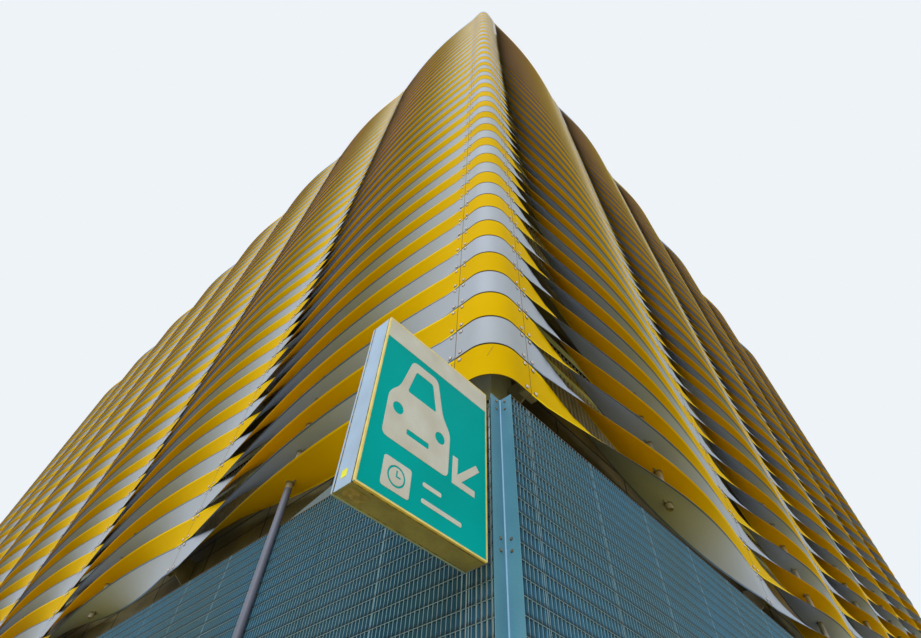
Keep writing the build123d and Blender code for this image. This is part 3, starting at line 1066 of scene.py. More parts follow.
    def corner(self, corner: Corner) -> None:
        """Make one corner's bolts.

        Args:
            corner: The corner.
        """
        tree, name = Tree("corner_bolts"), f"{corner.label}_sheet_bolts"
        piece = tree.mesh(name, self._field(tree, self.block.corner_length, 1, rolled=True))
        settled(piece, self.block.corner_place(corner), "bracket_steel")


@dataclass(frozen=True)
class Tubes:
    """The tubes that the ribbons are threaded on, and the clamp under each ribbon.

    Attributes:
        block: The block's sizes.
        radius: A tube's outer radius.
        wall: The thickness of its wall.
        tube_sides: How many sides it has.
        end_drop: How far it hangs below the middle of the first row.
        collar: The radius of a clamp's collar.
        collar_height: The collar's height.
        collar_sides: How many sides it has.
        boss: The radius of the boss of its screw.
        boss_length: The boss's length.
        boss_sides: How many sides it has.
        boss_out: The part of the boss that its middle stands out of the collar by.
    """

    block: Block
    radius: float = 38 * MM
    wall: float = 4 * MM
    tube_sides: int = 20
    end_drop: float = 80 * MM
    collar: float = 46 * MM
    collar_height: float = 22 * MM
    collar_sides: int = 10
    boss: float = 12 * MM
    boss_length: float = 62 * MM
    boss_sides: int = 6
    boss_out: float = 0.4

    def _tube(self, tree: Tree) -> Any:
        """Make one open tube about the Z axis, with its wall.

        Args:
            tree: The tree to build in.

        Returns:
            The tube's geometry.
        """
        given, add, block = tree.given, tree.add, self.block
        low = block.base + block.pitch / 2 - self.end_drop
        high = block.base + block.rows * block.pitch
        length, wall = given("Tube length", high - low), given("Tube wall", self.wall)
        ring = given("Tube radius", self.radius - self.wall / 2)
        circle = add("GeometryNodeCurvePrimitiveCircle", {"Resolution": self.tube_sides, "Radius": ring})
        section = add("GeometryNodeCurvePrimitiveQuadrilateral", {0: wall, 1: length})
        tube = add("GeometryNodeCurveToMesh", {"Curve": circle, "Profile Curve": section})
        return add("GeometryNodeTransform", {"Geometry": tube, "Translation": (0, 0, (low + high) / 2)})

    def _clamp(self, tree: Tree, hand: int) -> Any:
        """Make one clamp: a collar whose top is at z = 0, and the boss of its screw beside it.

        Args:
            tree: The tree to build in.
            hand: -1 for a boss on the left, 1 for one on the right.

        Returns:
            The clamp's geometry.
        """
        given, add, parts = tree.given, tree.add, []
        down = -self.collar_height / 2
        beside = hand * (self.collar + self.boss_length * self.boss_out)
        for label, sides, radius, length, at, turn in (
            ("Collar", self.collar_sides, self.collar, self.collar_height, (0, 0, down), 0.0),
            ("Boss", self.boss_sides, self.boss, self.boss_length, (beside, 0, down), math.pi / 2),
        ):
            wide, long = given(f"{label} radius", radius), given(f"{label} length", length)
            part = add("GeometryNodeMeshCylinder", {"Vertices": sides, "Radius": wide, "Depth": long})
            moved = {"Geometry": part, "Translation": at, "Rotation": (0, turn, 0)}
            parts.append(add("GeometryNodeTransform", moved))
        return add("GeometryNodeJoinGeometry", {0: parts})

    def _line(self, tree: Tree, bays: int, hand: int) -> Any:
        """Stand the tubes in a line, one at the middle of each bay, with their clamps.

        Args:
            tree: The tree to build in.
            bays: How many bays the side has.
            hand: The side of the clamps' bosses.

        Returns:
            The geometry of the whole line.
        """
        given, add, block = tree.given, tree.add, self.block
        joint, across, rows = given("Bay", block.bay), given("Bays", bays), given("Rows", block.rows)
        base, pitch = given("Base", block.base), given("Row pitch", block.pitch)
        index = add("GeometryNodeInputIndex")
        stand = add("ShaderNodeCombineXYZ", {0: tree.middle(index, joint)})
        tubes = tree.smooth(tree.copies(across, stand, self._tube(tree)))
        tubes = tree.painted(tubes, ("Tube finish", Finish.TUBE, True))
        row, column = tree.cell(index, rows)
        under = {0: tree.middle(row, pitch, base), 1: given("Sheet face", -block.sheet_thickness / 2)}
        place = {0: tree.middle(column, joint), 2: add(MATH, under, operation="ADD")}
        count = add(MATH, {0: rows, 1: across}, operation="MULTIPLY")
        clamps = tree.copies(count, add("ShaderNodeCombineXYZ", place), self._clamp(tree, hand))
        clamps = tree.painted(clamps, ("Clamp finish", Finish.ZINC, True))
        return add("GeometryNodeJoinGeometry", {0: [clamps, tubes]})

    def side(self, side: Side) -> None:
        """Make one side's tubes and clamps.

        Args:
            side: The side.
        """
        tree, hand = Tree("tube_line"), -1 if side in (Side.FRONT, Side.BACK) else 1
        piece = tree.mesh(f"{side.label}_tubes", self._line(tree, self.block.bays(side), hand))
        settled(piece, self.block.place(side), "pole_paint")


@dataclass(frozen=True)
class Grating:
    """A run of pressed steel grating: upright flat bars and the rods that cross them.

    Attributes:
        bar_pitch: About how far the upright bars are apart.
        bar_thickness: Their thickness.
        bar_depth: Their depth.
        rod_pitch: The height from rod to rod.
        rod: The thickness of a rod.
        rod_proud: How far the rods stand out of the bars' front edges.
        panel: About how wide a panel is.
        panel_inset: How far the outer panels' ends are from the run's ends.
        band: The thickness of the bars at a panel's ends.
        edge_bar: The height of the level bar on top.
    """

    bar_pitch: float = 38 * MM
    bar_thickness: float = 5 * MM
    bar_depth: float = 30 * MM
    rod_pitch: float = 100 * MM
    rod: float = 4 * MM
    rod_proud: float = 0.5 * MM
    panel: float = 0.84
    panel_inset: float = 210 * MM
    band: float = 7 * MM
    edge_bar: float = 8 * MM

    def _row(self, tree: Tree, size: Any, number: Any, first: Any, step: Any) -> Any:
        """Repeat a bar at even steps.

        Args:
            tree: The tree to build in.
            size: The bar's size.
            number: How many bars there are.
            first: The middle of the first one.
            step: The step from one to the next.

        Returns:
            The geometry of the bars.
        """
        line = {"Count": number, "Start Location": first, "Offset": step}
        points, bar = tree.add("GeometryNodeMeshLine", line), tree.add("GeometryNodeMeshCube", {"Size": size})
        bars = tree.add("GeometryNodeInstanceOnPoints", {"Points": points, "Instance": bar})
        return tree.add("GeometryNodeRealizeInstances", {0: bars})

    def run(self, name: str, length: float, low: float, high: float) -> bpy.types.Object:
        """Make a run centred on x = 0 with its face at y = 0.

        Args:
            name: The piece's name.
            length: The run's length.
            low: The height of its foot.
            high: The height of its head.

        Returns:
            The piece, in its own frame.
        """
        tree = Tree("pressed_grating")
        given, add, half_depth = tree.given, tree.add, self.bar_depth / 2
        height, middle = high - low - self.edge_bar, (low + high - self.edge_bar) / 2
        bars = round(length / self.bar_pitch)
        rods = int((height - self.rod_pitch / 2) / self.rod_pitch) + 1
        panels = round((length - 2 * self.panel_inset) / self.panel)
        long, tall = given("Length", length), given("Height", height)
        depth, upright = given("Bar depth", self.bar_depth), []
        for label, count, thickness, inset in (
            ("Panel ends", panels + 1, self.band, self.panel_inset),
            ("Bars", bars + 1, self.bar_thickness, 0.0),
        ):
            number, thick = given(label, count), given(f"{label} thickness", thickness)
            size = add("ShaderNodeCombineXYZ", {0: thick, 1: depth, 2: tall})
            margin = given(f"{label} margin", 2 * inset + thickness)
            spread = add(MATH, {0: long, 1: margin}, operation="SUBTRACT")
            gaps = add(MATH, {0: number, 1: -1.0}, operation="ADD")
            step = add("ShaderNodeCombineXYZ", {0: add(MATH, {0: spread, 1: gaps}, operation="DIVIDE")})
            start = add(MATH, {0: spread, 1: -0.5}, operation="MULTIPLY")
            first = add("ShaderNodeCombineXYZ", {0: start, 1: half_depth, 2: middle})
            upright.append(self._row(tree, size, number, first, step))
        # The bars' front edges take the paler finish, painted as the sky light on them
        out = add("ShaderNodeSeparateXYZ", {0: add("GeometryNodeInputNormal")}, 1)
        front = add("FunctionNodeCompare", {0: out, 1: -0.5}, operation="LESS_THAN")
        coats = (("Bar finish", Finish.BAR, True), ("Front edge finish", Finish.BAR_EDGE, front))
        upright = tree.painted(add("GeometryNodeJoinGeometry", {0: upright}), *coats)
        thick = given("Rod width", self.rod)
        size = add("ShaderNodeCombineXYZ", {0: long, 1: thick, 2: thick})
        step = add("ShaderNodeCombineXYZ", {2: given("Rod pitch", self.rod_pitch)})
        first = (0.0, self.rod / 2 - self.rod_proud, low + self.rod_pitch / 2)
        crossing = self._row(tree, size, given("Rods", rods), first, step)
        crossing = tree.painted(crossing, ("Rod finish", Finish.ROD, True))
        size = add("ShaderNodeCombineXYZ", {0: long, 1: depth, 2: given("Edge bar", self.edge_bar)})
        top = (0.0, half_depth, high - self.edge_bar / 2)
        edge_bar = tree.boxes("Edge bar finish", 1, size, top, Finish.WASHER)
        return tree.mesh(name, add("GeometryNodeJoinGeometry", {0: [crossing, upright, edge_bar]}))


@dataclass(frozen=True)
class Run:
    """A level member along every deck edge of a side, or a row of upright ones.

    Attributes:
        name: The member's name.
        foot: The height of its foot over the deck.
        head: The height of its head over the deck.
        depth: Its depth.
        behind: How far its middle stands behind the ribbons' middle.
        finish: Its finish.
        width: The width of an upright member; a level one is as long as the side.
        pitch: The distance between upright members.
    """

    name: str
    foot: float
    head: float
    depth: float
    behind: float
    finish: Finish
    width: float = 0.0
    pitch: float = math.inf


@dataclass(frozen=True)
class DeckEdges:
    """What shows on the deck edges behind the ribbons: steel guards, the joints of the beams' lining, and a
    black strip painted under the high rail as its shadow.
    """

    block: Block
    inset: float = 150 * MM
    runs: tuple[Run, ...] = (
        Run("Guard bar", 300 * MM, 1490 * MM, 20 * MM, 262 * MM, Finish.GUARD, 8 * MM, 76 * MM),
        Run("Guard mesh", 302 * MM, 1488 * MM, 4 * MM, 278 * MM, Finish.GUARD),
        Run("Low rail", 930 * MM, 980 * MM, 34 * MM, 258 * MM, Finish.RAIL),
        Run("High rail", 1380 * MM, 1490 * MM, 34 * MM, 258 * MM, Finish.RAIL),
        # A black strip painted as the high rail's shadow
        Run("Rail shadow", 1365 * MM, 1380 * MM, 24 * MM, 260 * MM, Finish.JOINT),
        Run("Low lining joint", -130 * MM, -122 * MM, 6 * MM, 249 * MM, Finish.JOINT),
        Run("High lining joint", 72 * MM, 90 * MM, 6 * MM, 249 * MM, Finish.JOINT),
        Run("Cross lining joint", -450 * MM, 72 * MM, 6 * MM, 249 * MM, Finish.JOINT, 9 * MM, 1.2),
    )

    def _run(self, tree: Tree, run: Run, long: float) -> Any:
        """Make a run's members on every deck.

        Args:
            tree: The tree to build in.
            run: The run.
            long: The length of the deck edge.

        Returns:
            The members' geometry.
        """
        add, block = tree.add, self.block
        number, middle, length, width, depth, behind = (
            tree.given(f"{run.name} {size}", value)
            for size, value in (
                ("count", max(round(long / run.pitch), 1)),
                ("middle", block.first_deck + (run.foot + run.head) / 2),
                ("run", long),
                ("width", run.width or long),
                ("depth", run.depth),
                ("behind", run.behind),
            )
        )
        column, deck = tree.cell(add("GeometryNodeInputIndex"), number)
        step = add(MATH, {0: length, 1: number}, operation="DIVIDE")
        z = add(MATH, {0: deck, 1: block.storey, 2: middle}, operation="MULTIPLY_ADD")
        size = add("ShaderNodeCombineXYZ", {0: width, 1: depth, 2: run.head - run.foot})
        place = add("ShaderNodeCombineXYZ", {0: tree.middle(column, step, self.inset), 1: behind, 2: z})
        count = add(MATH, {0: number, 1: float(block.decks)}, operation="MULTIPLY")
        return tree.boxes(f"{run.name} finish", count, size, place, run.finish)

    def side(self, side: Side) -> None:
        """Make the deck edges of one side.

        Args:
            side: The side.
        """
        tree = Tree("deck_edges")
        long = self.block.bays(side) * self.block.bay - 2 * self.inset
        parts = [self._run(tree, run, long) for run in self.runs]
        piece = tree.mesh(f"{side.label}_deck_edges", tree.add("GeometryNodeJoinGeometry", {0: parts}))
        settled(piece, self.block.place(side), "grating_steel")


def box_outline(left: float, low: float, right: float, high: float) -> Outline:
    """Give the corners of an upright rectangle."""
    return [(left, low), (right, low), (right, high), (left, high)]


def ring_outline(x: float, y: float, radius: float, count: int = 24) -> Outline:
    """Give the points of a circle."""
    turns = (math.tau * number / count for number in range(count))
    return [(x + radius * math.cos(turn), y + radius * math.sin(turn)) for turn in turns]


def rounded(corners: Outline, radius: float, steps: int = 5) -> Outline:
    """Round the corners of a closed outline.

    Args:
        corners: The outline's corners in order.
        radius: How far from each corner its curve starts.
        steps: The number of runs that make each curve.

    Returns:
        The points of the rounded outline.
    """
    points = []
    for number, corner in enumerate(corners):
        at = Vector(corner)
        before, after = Vector(corners[number - 1]), Vector(corners[(number + 1) % len(corners)])
        start, end = at + (before - at).normalized() * radius, at + (after - at).normalized() * radius
        for step in range(steps + 1):
            t = step / steps
            points.append(tuple(start * (1 - t) ** 2 + at * 2 * t * (1 - t) + end * t**2))
    return points


def cut_sheet(name: str, outlines: list[Outline], thickness: float) -> bpy.types.Mesh:
    """Cut a flat sheet to outlines, of which those inside others are holes.

    Args:
        name: The mesh's name.
        outlines: Closed outlines in the sheet's own plane.
        thickness: The sheet's thickness, up from z = 0.

    Returns:
        The mesh.
    """
    curve = bpy.data.curves.new(name, "CURVE")
    curve.dimensions = "2D"
    curve.fill_mode = "BOTH"
    curve.extrude = thickness / 2
    for outline in outlines:
        spline = curve.splines.new("POLY")
        spline.points.add(len(outline) - 1)
        for point, (x, y) in zip(spline.points, outline):
            point.co = (x, y, 0, 1)
        spline.use_cyclic_u = True
    mesh = baked(new_object(f"{name}_outline", curve))
    mesh.transform(Matrix.Translation((0, 0, thickness / 2)))
    return mesh


def cut_piece(
    name: str, outlines: list[Outline], thickness: float, place: Matrix, finish: Finish, slot: str
) -> None:
    """Cut a flat piece, dress it and let it ride on the block.

    Args:
        name: The piece's name.
        outlines: Its outlines in its own plane.
        thickness: Its thickness.
        place: The transform from its own plane to the block.
        finish: Its finish.
        slot: The record's slot for the finish.
    """
    mesh = cut_sheet(name, outlines, thickness)
    mesh.materials.append(finish.material)
    settled(new_object(name, mesh), place, slot)


@dataclass(frozen=True)
class Screens:
    """The ground-floor screens, set where the frame's screens stand, and the plate over the left one.

    Attributes:
        plate_from: How far the plate's tall end is from the screen's front end.
        plate_length: The plate's length.
        plate_rise: How far its tall end rises over the screen.
        plate_thickness: Its thickness.
        plate_inset: How far it stands behind the screen's face.
    """

    plate_from: float = 1.2
    plate_length: float = 1.4
    plate_rise: float = 265 * MM
    plate_thickness: float = 5 * MM
    plate_inset: float = 2 * MM

    def side(self, side: Side) -> None:
        """Make one side's grating in place of the framed rails and posts that stand for it.

        Args:
            side: The side.
        """
        node = f"{side.label}_screen"
        low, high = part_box(node)
        corners = [side.turn.inverted() @ corner for corner in (low, high)]
        left, right = sorted(corner.x for corner in corners)
        face = min(corner.y for corner in corners)
        piece = Grating().run(f"{side.label}_grating", right - left, low.z, high.z)
        place = side.turn @ Matrix.Translation(((left + right) / 2, face, 0))
        settled(piece, place, "grating_steel", node)

    def closing_plate(self) -> None:
        """Stand the sloping plate that closes the gap over the left screen near the sign."""
        low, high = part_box("left_screen")
        end = low.y + self.plate_from
        outline = [(end, high.z), (end + self.plate_length, high.z), (end, high.z + self.plate_rise)]
        upright = Matrix(((0, 0, 1, low.x + self.plate_inset), (1, 0, 0, 0), (0, 1, 0, 0), (0, 0, 0, 1)))
        name, thickness = "left_closing_plate", self.plate_thickness
        cut_piece(name, [outline], thickness, upright, Finish.PLATE, "grating_steel")


@dataclass(frozen=True)
class AngleBolts:
    """The small bolts down both legs of each corner angle, in pairs, and the painted highlight line along its
    fold.

    Attributes:
        block: The block's sizes.
        inset_x: How far the fold stands inside the ribbons' middle, from side to side.
        inset_y: The same from front to back.
        from_vertex: How far the bolts are from the fold.
        pair: The distance between the two bolts of a pair.
        spacing: The distance from pair to pair.
        lowest: The height of the lowest bolt.
        pairs: The pairs down each leg.
        sides: How many sides a washer and a head have.
        washer: The radius of a washer.
        washer_depth: Its thickness.
        head: The radius of a head at its foot.
        head_top: Its radius at the top.
        head_depth: Its height.
        fold: How far the painted highlight line reaches to each side of the fold.
        top: The height where the line ends.
    """

    block: Block
    inset_x: float = 110 * MM
    inset_y: float = 60 * MM
    from_vertex: float = 45 * MM
    pair: float = 75 * MM
    spacing: float = 1.105
    lowest: float = 1.0
    pairs: int = 4
    sides: int = 8
    washer: float = 11 * MM
    washer_depth: float = 2 * MM
    head: float = 8 * MM
    head_top: float = 4.4 * MM
    head_depth: float = 8 * MM
    fold: float = 6 * MM
    top: float = 4.43

    def build(self) -> None:
        """Make the bolts and folds of all four corners."""
        shape, out = bmesh.new(), self.from_vertex
        x, y = self.block.half_x - self.inset_x, self.block.half_y - self.inset_y
        rises = (0.0, self.pair)
        heights = [self.lowest + self.spacing * k + rise for k in range(self.pairs) for rise in rises]
        for across in (-1, 1):
            for along in (-1, 1):
                ends = ((x + self.fold, y), (x, y + self.fold))
                corners = [(across * a, along * b, z) for a, b in ends for z in (0.0, self.top)]
                fold = [shape.verts.new(corners[number]) for number in (0, 1, 3, 2)]
                # The strip along the fold takes the painted highlight
                shape.faces.new(fold).material_index = 2
                for z in heights:
                    self._bolt(shape, Vector((across * (x + out), along * y, z)), Vector((0, along, 0)))
                    self._bolt(shape, Vector((across * x, along * (y + out), z)), Vector((across, 0, 0)))
        mesh = bpy.data.meshes.new("corner_angle_bolts")
        shape.to_mesh(mesh)
        shape.free()
        for finish in (Finish.WASHER, Finish.ZINC, Finish.FOLD):
            mesh.materials.append(finish.material)
        settled(new_object(mesh.name, mesh), Matrix(), "bracket_steel")

    def _bolt(self, shape: bmesh.types.BMesh, at: Vector, out: Vector) -> None:
        """Add one bolt: a washer and a head that stand out from a leg.

        Args:
            shape: The shape to add to.
            at: The middle of the bolt on the leg's face.
            out: The way it stands out.
        """
        turn = out.to_track_quat("Z", "Y").to_matrix().to_4x4()
        washer = (self.washer, self.washer, self.washer_depth)
        for number, (wide, top, depth) in enumerate((washer, (self.head, self.head_top, self.head_depth))):
            place = Matrix.Translation(at + out * (depth / 2 + number * self.washer_depth)) @ turn
            sizes = {"segments": self.sides, "radius1": wide, "radius2": top, "depth": depth}
            made = bmesh.ops.create_cone(shape, cap_ends=True, matrix=place, **sizes)
            for face in {face for vertex in made["verts"] for face in vertex.link_faces}:
                face.material_index = number


class Shape(Enum):
    """The plain shapes on a face of the sign."""

    BAND = "band"
    CAR = "car"
    TILE = "tile"
    ARROW = "arrow"
    FIRST_LINE = "first_line"
    SECOND_LINE = "second_line"


@dataclass(frozen=True)
class LightBoxSign:
    """What dresses the sign: off-white shapes, the lips round both faces and small fittings.

    Attributes:
        lip: The width of the lip on a face.
        lip_depth: How far the lip reaches back round the housing.
        lip_proud: How far it stands out of the face.
        lip_corner: How far from its corners the lip's outline starts to round.
        seam: The width of the seam behind the lip.
        seam_proud: How far the seam stands out of the housing.
        vinyl: The thickness of the shapes, the tab and the plate underneath.
        band: The height of the band at the top of a face.
        tab: Half the size of the tab on the housing's side.
        tab_corner: The rounding of its corners.
        tab_along: Its place along the housing's depth.
        tab_height: The height of its middle over the housing's foot.
        cover: Half the size of the cable cover's base.
        cover_corner: The rounding of its corners.
        cover_thickness: Its thickness.
        cover_inset: How far its middle is from the housing's side.
        dome: The radius of the dome on it.
        dome_rise: The height of the dome's middle.
        screw: The radius of its screws.
        screw_at: How far they are from its middle.
    """

    lip: float = 10 * MM
    lip_depth: float = 14 * MM
    lip_proud: float = 2 * MM
    lip_corner: float = 12 * MM
    seam: float = 9 * MM
    seam_proud: float = 0.8 * MM
    vinyl: float = 1.5 * MM
    band: float = 180 * MM
    tab: tuple[float, float] = (22 * MM, 24 * MM)
    tab_corner: float = 3 * MM
    tab_along: float = 0.56
    tab_height: float = 86 * MM
    cover: tuple[float, float] = (62 * MM, 42 * MM)
    cover_corner: float = 25 * MM
    cover_thickness: float = 6 * MM
    cover_inset: float = 85 * MM
    dome: float = 32 * MM
    dome_rise: float = 4 * MM
    screw: float = 5 * MM
    screw_at: tuple[float, float] = (48 * MM, 28 * MM)

    def _outlines(self, shape: Shape, width: float, height: float) -> list[Outline]:
        """Draw a shape on a face, from its lower left corner.

        Args:
            shape: The shape.
            width: The face's width.
            height: The face's height.

        Returns:
            The shape's outlines, holes among them.
        """
        if shape is Shape.BAND:
            return [box_outline(0, height - self.band, width, height)]
        if shape is Shape.FIRST_LINE:
            return [rounded(box_outline(0.435, 0.205, 0.580, 0.233), 0.012)]
        if shape is Shape.SECOND_LINE:
            return [rounded(box_outline(0.435, 0.105, 0.750, 0.133), 0.012)]
        if shape is Shape.TILE:
            x, y = 0.248, 0.159
            short, long = box_outline(x - 0.005, y - 0.005, x + 0.030, y + 0.005), (x + 0.005, y + 0.036)
            hands = [*short[:3], (x + 0.005, y + 0.005), long, (x - 0.005, y + 0.036)]
            rim = [ring_outline(x, y, 0.064), ring_outline(x, y, 0.052)]
            return [rounded(box_outline(0.148, 0.066, 0.348, 0.252), 0.022), *rim, hands]
        if shape is Shape.ARROW:
            head = [(0.655, 0.350), (0.655, 0.545), (0.700, 0.545), (0.700, 0.428)]
            shaft = [(0.863, 0.590), (0.896, 0.557), (0.737, 0.395), (0.855, 0.395), (0.855, 0.350)]
            return [head + shaft]
        body = [(0.10, 0.36), (0.62, 0.36), (0.62, 0.68), (0.545, 0.78)]
        body += [(0.475, 1.06), (0.245, 1.06), (0.175, 0.78), (0.10, 0.68)]
        screen = [(0.235, 0.775), (0.485, 0.775), (0.435, 0.985), (0.285, 0.985)]
        grille = box_outline(0.27, 0.46, 0.45, 0.50)
        lamps = [ring_outline(x, 0.60, 0.042) for x in (0.185, 0.535)]
        return [rounded(body, 0.045), rounded(screen, 0.02), rounded(grille, 0.012), *lamps]

    def _face(self, name: str, low: Vector, high: Vector, turned: bool) -> None:
        """Dress one face of the sign.

        Args:
            name: The face's name.
            low: The housing's lowest corner.
            high: The housing's highest corner.
            turned: Whether the face looks back along +Y.
        """
        width, depth, height = high - low
        turn = Matrix.Rotation(math.pi if turned else 0.0, 4, "Z")
        out = Matrix.Translation((-width / 2, -depth / 2, -height / 2))
        place = Matrix.Translation((low + high) / 2) @ turn @ out @ Matrix.Rotation(math.pi / 2, 4, "X")
        for shape in Shape:
            outlines = self._outlines(shape, width, height)
            piece_name = f"sign_{name}_{shape.value}"
            cut_piece(piece_name, outlines, self.vinyl, place, Finish.WHITE, "sign_panel")
        edge, behind, foot = self.lip_proud / 2, self.lip_depth - self.lip_proud, self.seam_proud
        lip = rounded(box_outline(-edge, -edge, width + edge, height + edge), self.lip_corner)
        seam = box_outline(-foot, -foot, width + foot, height + foot)
        trim = Finish.HOUSING if turned else Finish.TRIM
        for part, outer, hidden, thickness, back, finish in (
            ("lip", lip, self.lip, self.lip_depth, behind, trim),
            ("seam", seam, 2 * foot, self.seam, behind + self.seam, Finish.SEAM),
        ):
            ring = [outer, box_outline(hidden, hidden, width - hidden, height - hidden)]
            where = place @ Matrix.Translation((0, 0, -back))
            cut_piece(f"sign_{name}_{part}", ring, thickness, where, finish, "sign_paint")

    def build(self) -> None:
        """Dress both faces, the side and the underside."""
        low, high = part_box("sign_housing")
        self._face("front", low, high, turned=False)
        self._face("back", low, high, turned=True)
        depth, (wide, tall) = high.y - low.y, self.tab
        tab = rounded(box_outline(-wide, -tall, wide, tall), self.tab_corner)
        at = Matrix.Translation((low.x, low.y + depth * self.tab_along, low.z + self.tab_height))
        upright = Matrix.Rotation(-math.pi / 2, 4, "Z") @ Matrix.Rotation(math.pi / 2, 4, "X")
        cut_piece("sign_side_tab", [tab], self.vinyl, at @ upright, Finish.LABEL, "sign_panel")
        edge = self.lip_depth + self.seam - self.lip_proud
        plate = box_outline(low.x + MM, low.y + edge, high.x - MM, high.y - edge)
        under = Matrix.Translation((0, 0, low.z - self.vinyl))
        cut_piece("sign_underside", [plate], self.vinyl, under, Finish.SOFFIT, "sign_paint")
        self._cover(Vector((low.x + self.cover_inset, low.y + depth / 2, low.z - self.vinyl)))

    def _cover(self, at: Vector) -> None:
        """Put the round cable cover under the housing's outer corner.

        Args:
            at: The middle of the cover on the underside.
        """
        wide, tall = self.cover
        base = rounded(box_outline(-wide, -tall, wide, tall), self.cover_corner)
        mesh = cut_sheet("sign_cable_cover", [base], self.cover_thickness)
        shape = bmesh.new()
        shape.from_mesh(mesh)
        screws = box_outline(-self.screw_at[0], -self.screw_at[1], *self.screw_at)
        domes = [((0, 0, self.dome_rise), 0.35, self.dome, 20, 10)]
        domes += [((x, y, self.cover_thickness), 0.5, self.screw, 8, 6) for x, y in screws]
        for middle, flat, radius, around, up in domes:
            place = Matrix.Translation(middle) @ Matrix.Diagonal((1, 1, flat, 1))
            sizes = {"u_segments": around, "v_segments": up, "radius": radius}
            bmesh.ops.create_uvsphere(shape, matrix=place, **sizes)
        shape.to_mesh(mesh)
        shape.free()
        mesh.materials.append(Finish.COVER.material)
        place = Matrix.Translation(at) @ Matrix.Rotation(math.pi, 4, "X")
        settled(new_object("sign_cable_cover", mesh), place, "sign_paint")


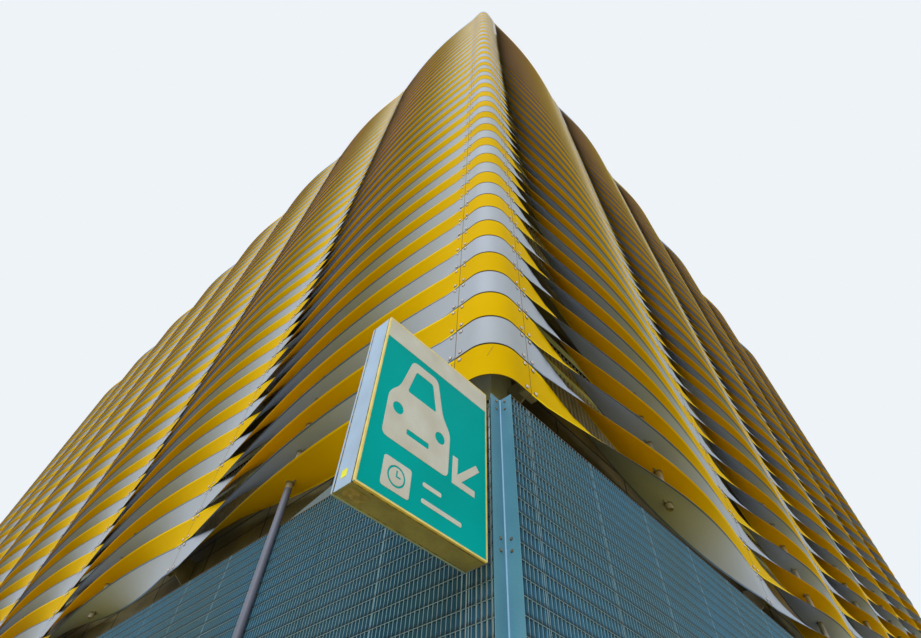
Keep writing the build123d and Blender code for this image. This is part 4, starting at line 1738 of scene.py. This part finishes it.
@dataclass(frozen=True)
class Stage:
    """The plain floor, the soft light, and the camera at the photo's place, looking steeply up."""

    floor_reach: float = 400.0
    floor_drop: float = 2 * MM
    sky_strength: float = 0.98
    sun_strength: float = 1.62
    sun_spread: float = 50.0
    sun_heading: Triple = (0.86, 0.40, -0.70)
    lens: float = 20.407
    sensor: float = 36.0
    sight: float = 1000.0
    eye: Triple = (-16.72, -20.99, 1.6)
    right: Triple = (0.6746, -0.7375, 0.0315)
    forward: Triple = (0.42425, 0.42229, 0.80105)

    def build(self) -> None:
        """Make the floor, the world, the lamp and the camera."""
        bpy.context.scene.view_settings.view_transform = "Standard"
        self._floor()
        self._world()
        self._sun()
        self._camera()

    def _shown(self, tree: bpy.types.NodeTree, kind: str, end: str, light: dict, seen: dict) -> None:
        """Light the object with one shader, and show the camera, metal and glass another.

        Args:
            tree: The material's or the world's tree.
            kind: The type of both shaders.
            end: The type of the tree's output.
            light: The inputs of the shader that lights the object.
            seen: The inputs of the shader that shows.
        """
        tree.nodes.clear()
        path = add_node(tree, "ShaderNodeLightPath").outputs
        share = path["Is Camera Ray"]
        for other in ("Is Glossy Ray", "Is Transmission Ray"):
            share = add_node(tree, MATH, {0: share, 1: path[other]}, operation="MAXIMUM").outputs[0]
        hidden, shown = (add_node(tree, kind, inputs).outputs[0] for inputs in (light, seen))
        mixed = add_node(tree, "ShaderNodeMixShader", {0: share, 1: hidden, 2: shown})
        add_node(tree, end, {0: mixed.outputs[0]})

    def _floor(self) -> None:
        """Lay a pale floor that sends a dimmer, warm light back up."""
        mesh, reach = bpy.data.meshes.new("floor"), self.floor_reach
        corners = box_outline(-reach, -reach, reach, reach)
        mesh.from_pydata([(x, y, -self.floor_drop) for x, y in corners], [], [(0, 1, 2, 3)])
        # Matt paper backdrop: it looks pale and even, and its warm bounce stands for the ground
        material = bpy.data.materials.new("pale_floor")
        material.use_nodes = True
        light, seen = {"Color": linear("#cab048")}, {"Color": linear("#dcdcd8")}
        kind, end = "ShaderNodeBsdfDiffuse", "ShaderNodeOutputMaterial"
        self._shown(material.node_tree, kind, end, light, seen)
        mesh.materials.append(material)
        new_object("floor", mesh)

    def _world(self) -> None:
        """Give an even pale sky."""
        world = bpy.data.worlds.new("soft_sky")
        bpy.context.scene.world = world
        world.use_nodes = True
        light = {"Color": linear("#dbe8fc"), "Strength": self.sky_strength}
        seen = {"Color": linear("#eef3f8"), "Strength": 1.0}
        self._shown(world.node_tree, "ShaderNodeBackground", "ShaderNodeOutputWorld", light, seen)

    def _sun(self) -> None:
        """Hang one broad soft lamp in front of the corner that the camera sees."""
        light = bpy.data.lights.new("soft_sun", "SUN")
        light.energy = self.sun_strength
        light.angle = math.radians(self.sun_spread)
        heading = Vector(self.sun_heading).to_track_quat("-Z", "Y")
        new_object("soft_sun", light).rotation_euler = heading.to_euler()

    def _camera(self) -> None:
        """Set the camera close to the corner."""
        data = bpy.data.cameras.new("camera")
        data.lens = self.lens
        data.sensor_width = self.sensor
        data.clip_end = self.sight
        right, forward = Vector(self.right).normalized(), Vector(self.forward).normalized()
        turn = Matrix((right, right.cross(forward), -forward)).transposed().to_4x4()
        camera = new_object("camera", data)
        camera.matrix_world = Matrix.Translation(self.eye) @ turn
        bpy.context.scene.camera = camera


def dress_nodes(nodes: dict[str, bpy.types.Object]) -> None:
    """Give the kept nodes of the frame their finishes.

    Args:
        nodes: The frame's nodes by name.
    """
    rules = (
        ("corner_ribbons", Finish.ZINC),
        ("joint_posts", Finish.ZINC),
        ("edge_beams", Finish.BEAM),
        ("corner_columns", Finish.COLUMN),
        ("column", Finish.CONCRETE),
        ("deck", Finish.DECK),
        ("ground_slab", Finish.DECK),
        ("screen", Finish.BAR),
        ("corner_angles", Finish.ANGLE),
        ("ground_pole", Finish.POLE),
        ("sign_housing", Finish.HOUSING),
        ("sign_front_face", Finish.TEAL),
        ("sign_back_face", Finish.TEAL),
        ("sign_arms", Finish.ZINC),
    )
    for name, node in nodes.items():
        finish = next((finish for part, finish in rules if part in name), None)
        if finish:
            node.data.materials.clear()
            node.data.materials.append(finish.material)


def main() -> None:
    """Build and dress every piece, in order."""
    logging.basicConfig(level=logging.INFO, format="%(message)s")
    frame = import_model()
    dress_nodes(frame["nodes"])
    block, screens = Block(), Screens()
    sheets, bolts = SheetField(block), JointBolts(block)
    for side in Side:
        for part in (sheets, bolts, Tubes(block), DeckEdges(block), screens):
            part.side(side)
    for corner in Corner:
        sheets.corner(corner)
        bolts.corner(corner)
    sheets.scuff()
    screens.closing_plate()
    AngleBolts(block).build()
    LightBoxSign().build()
    Stage().build()


if __name__ == "__main__":
    main()
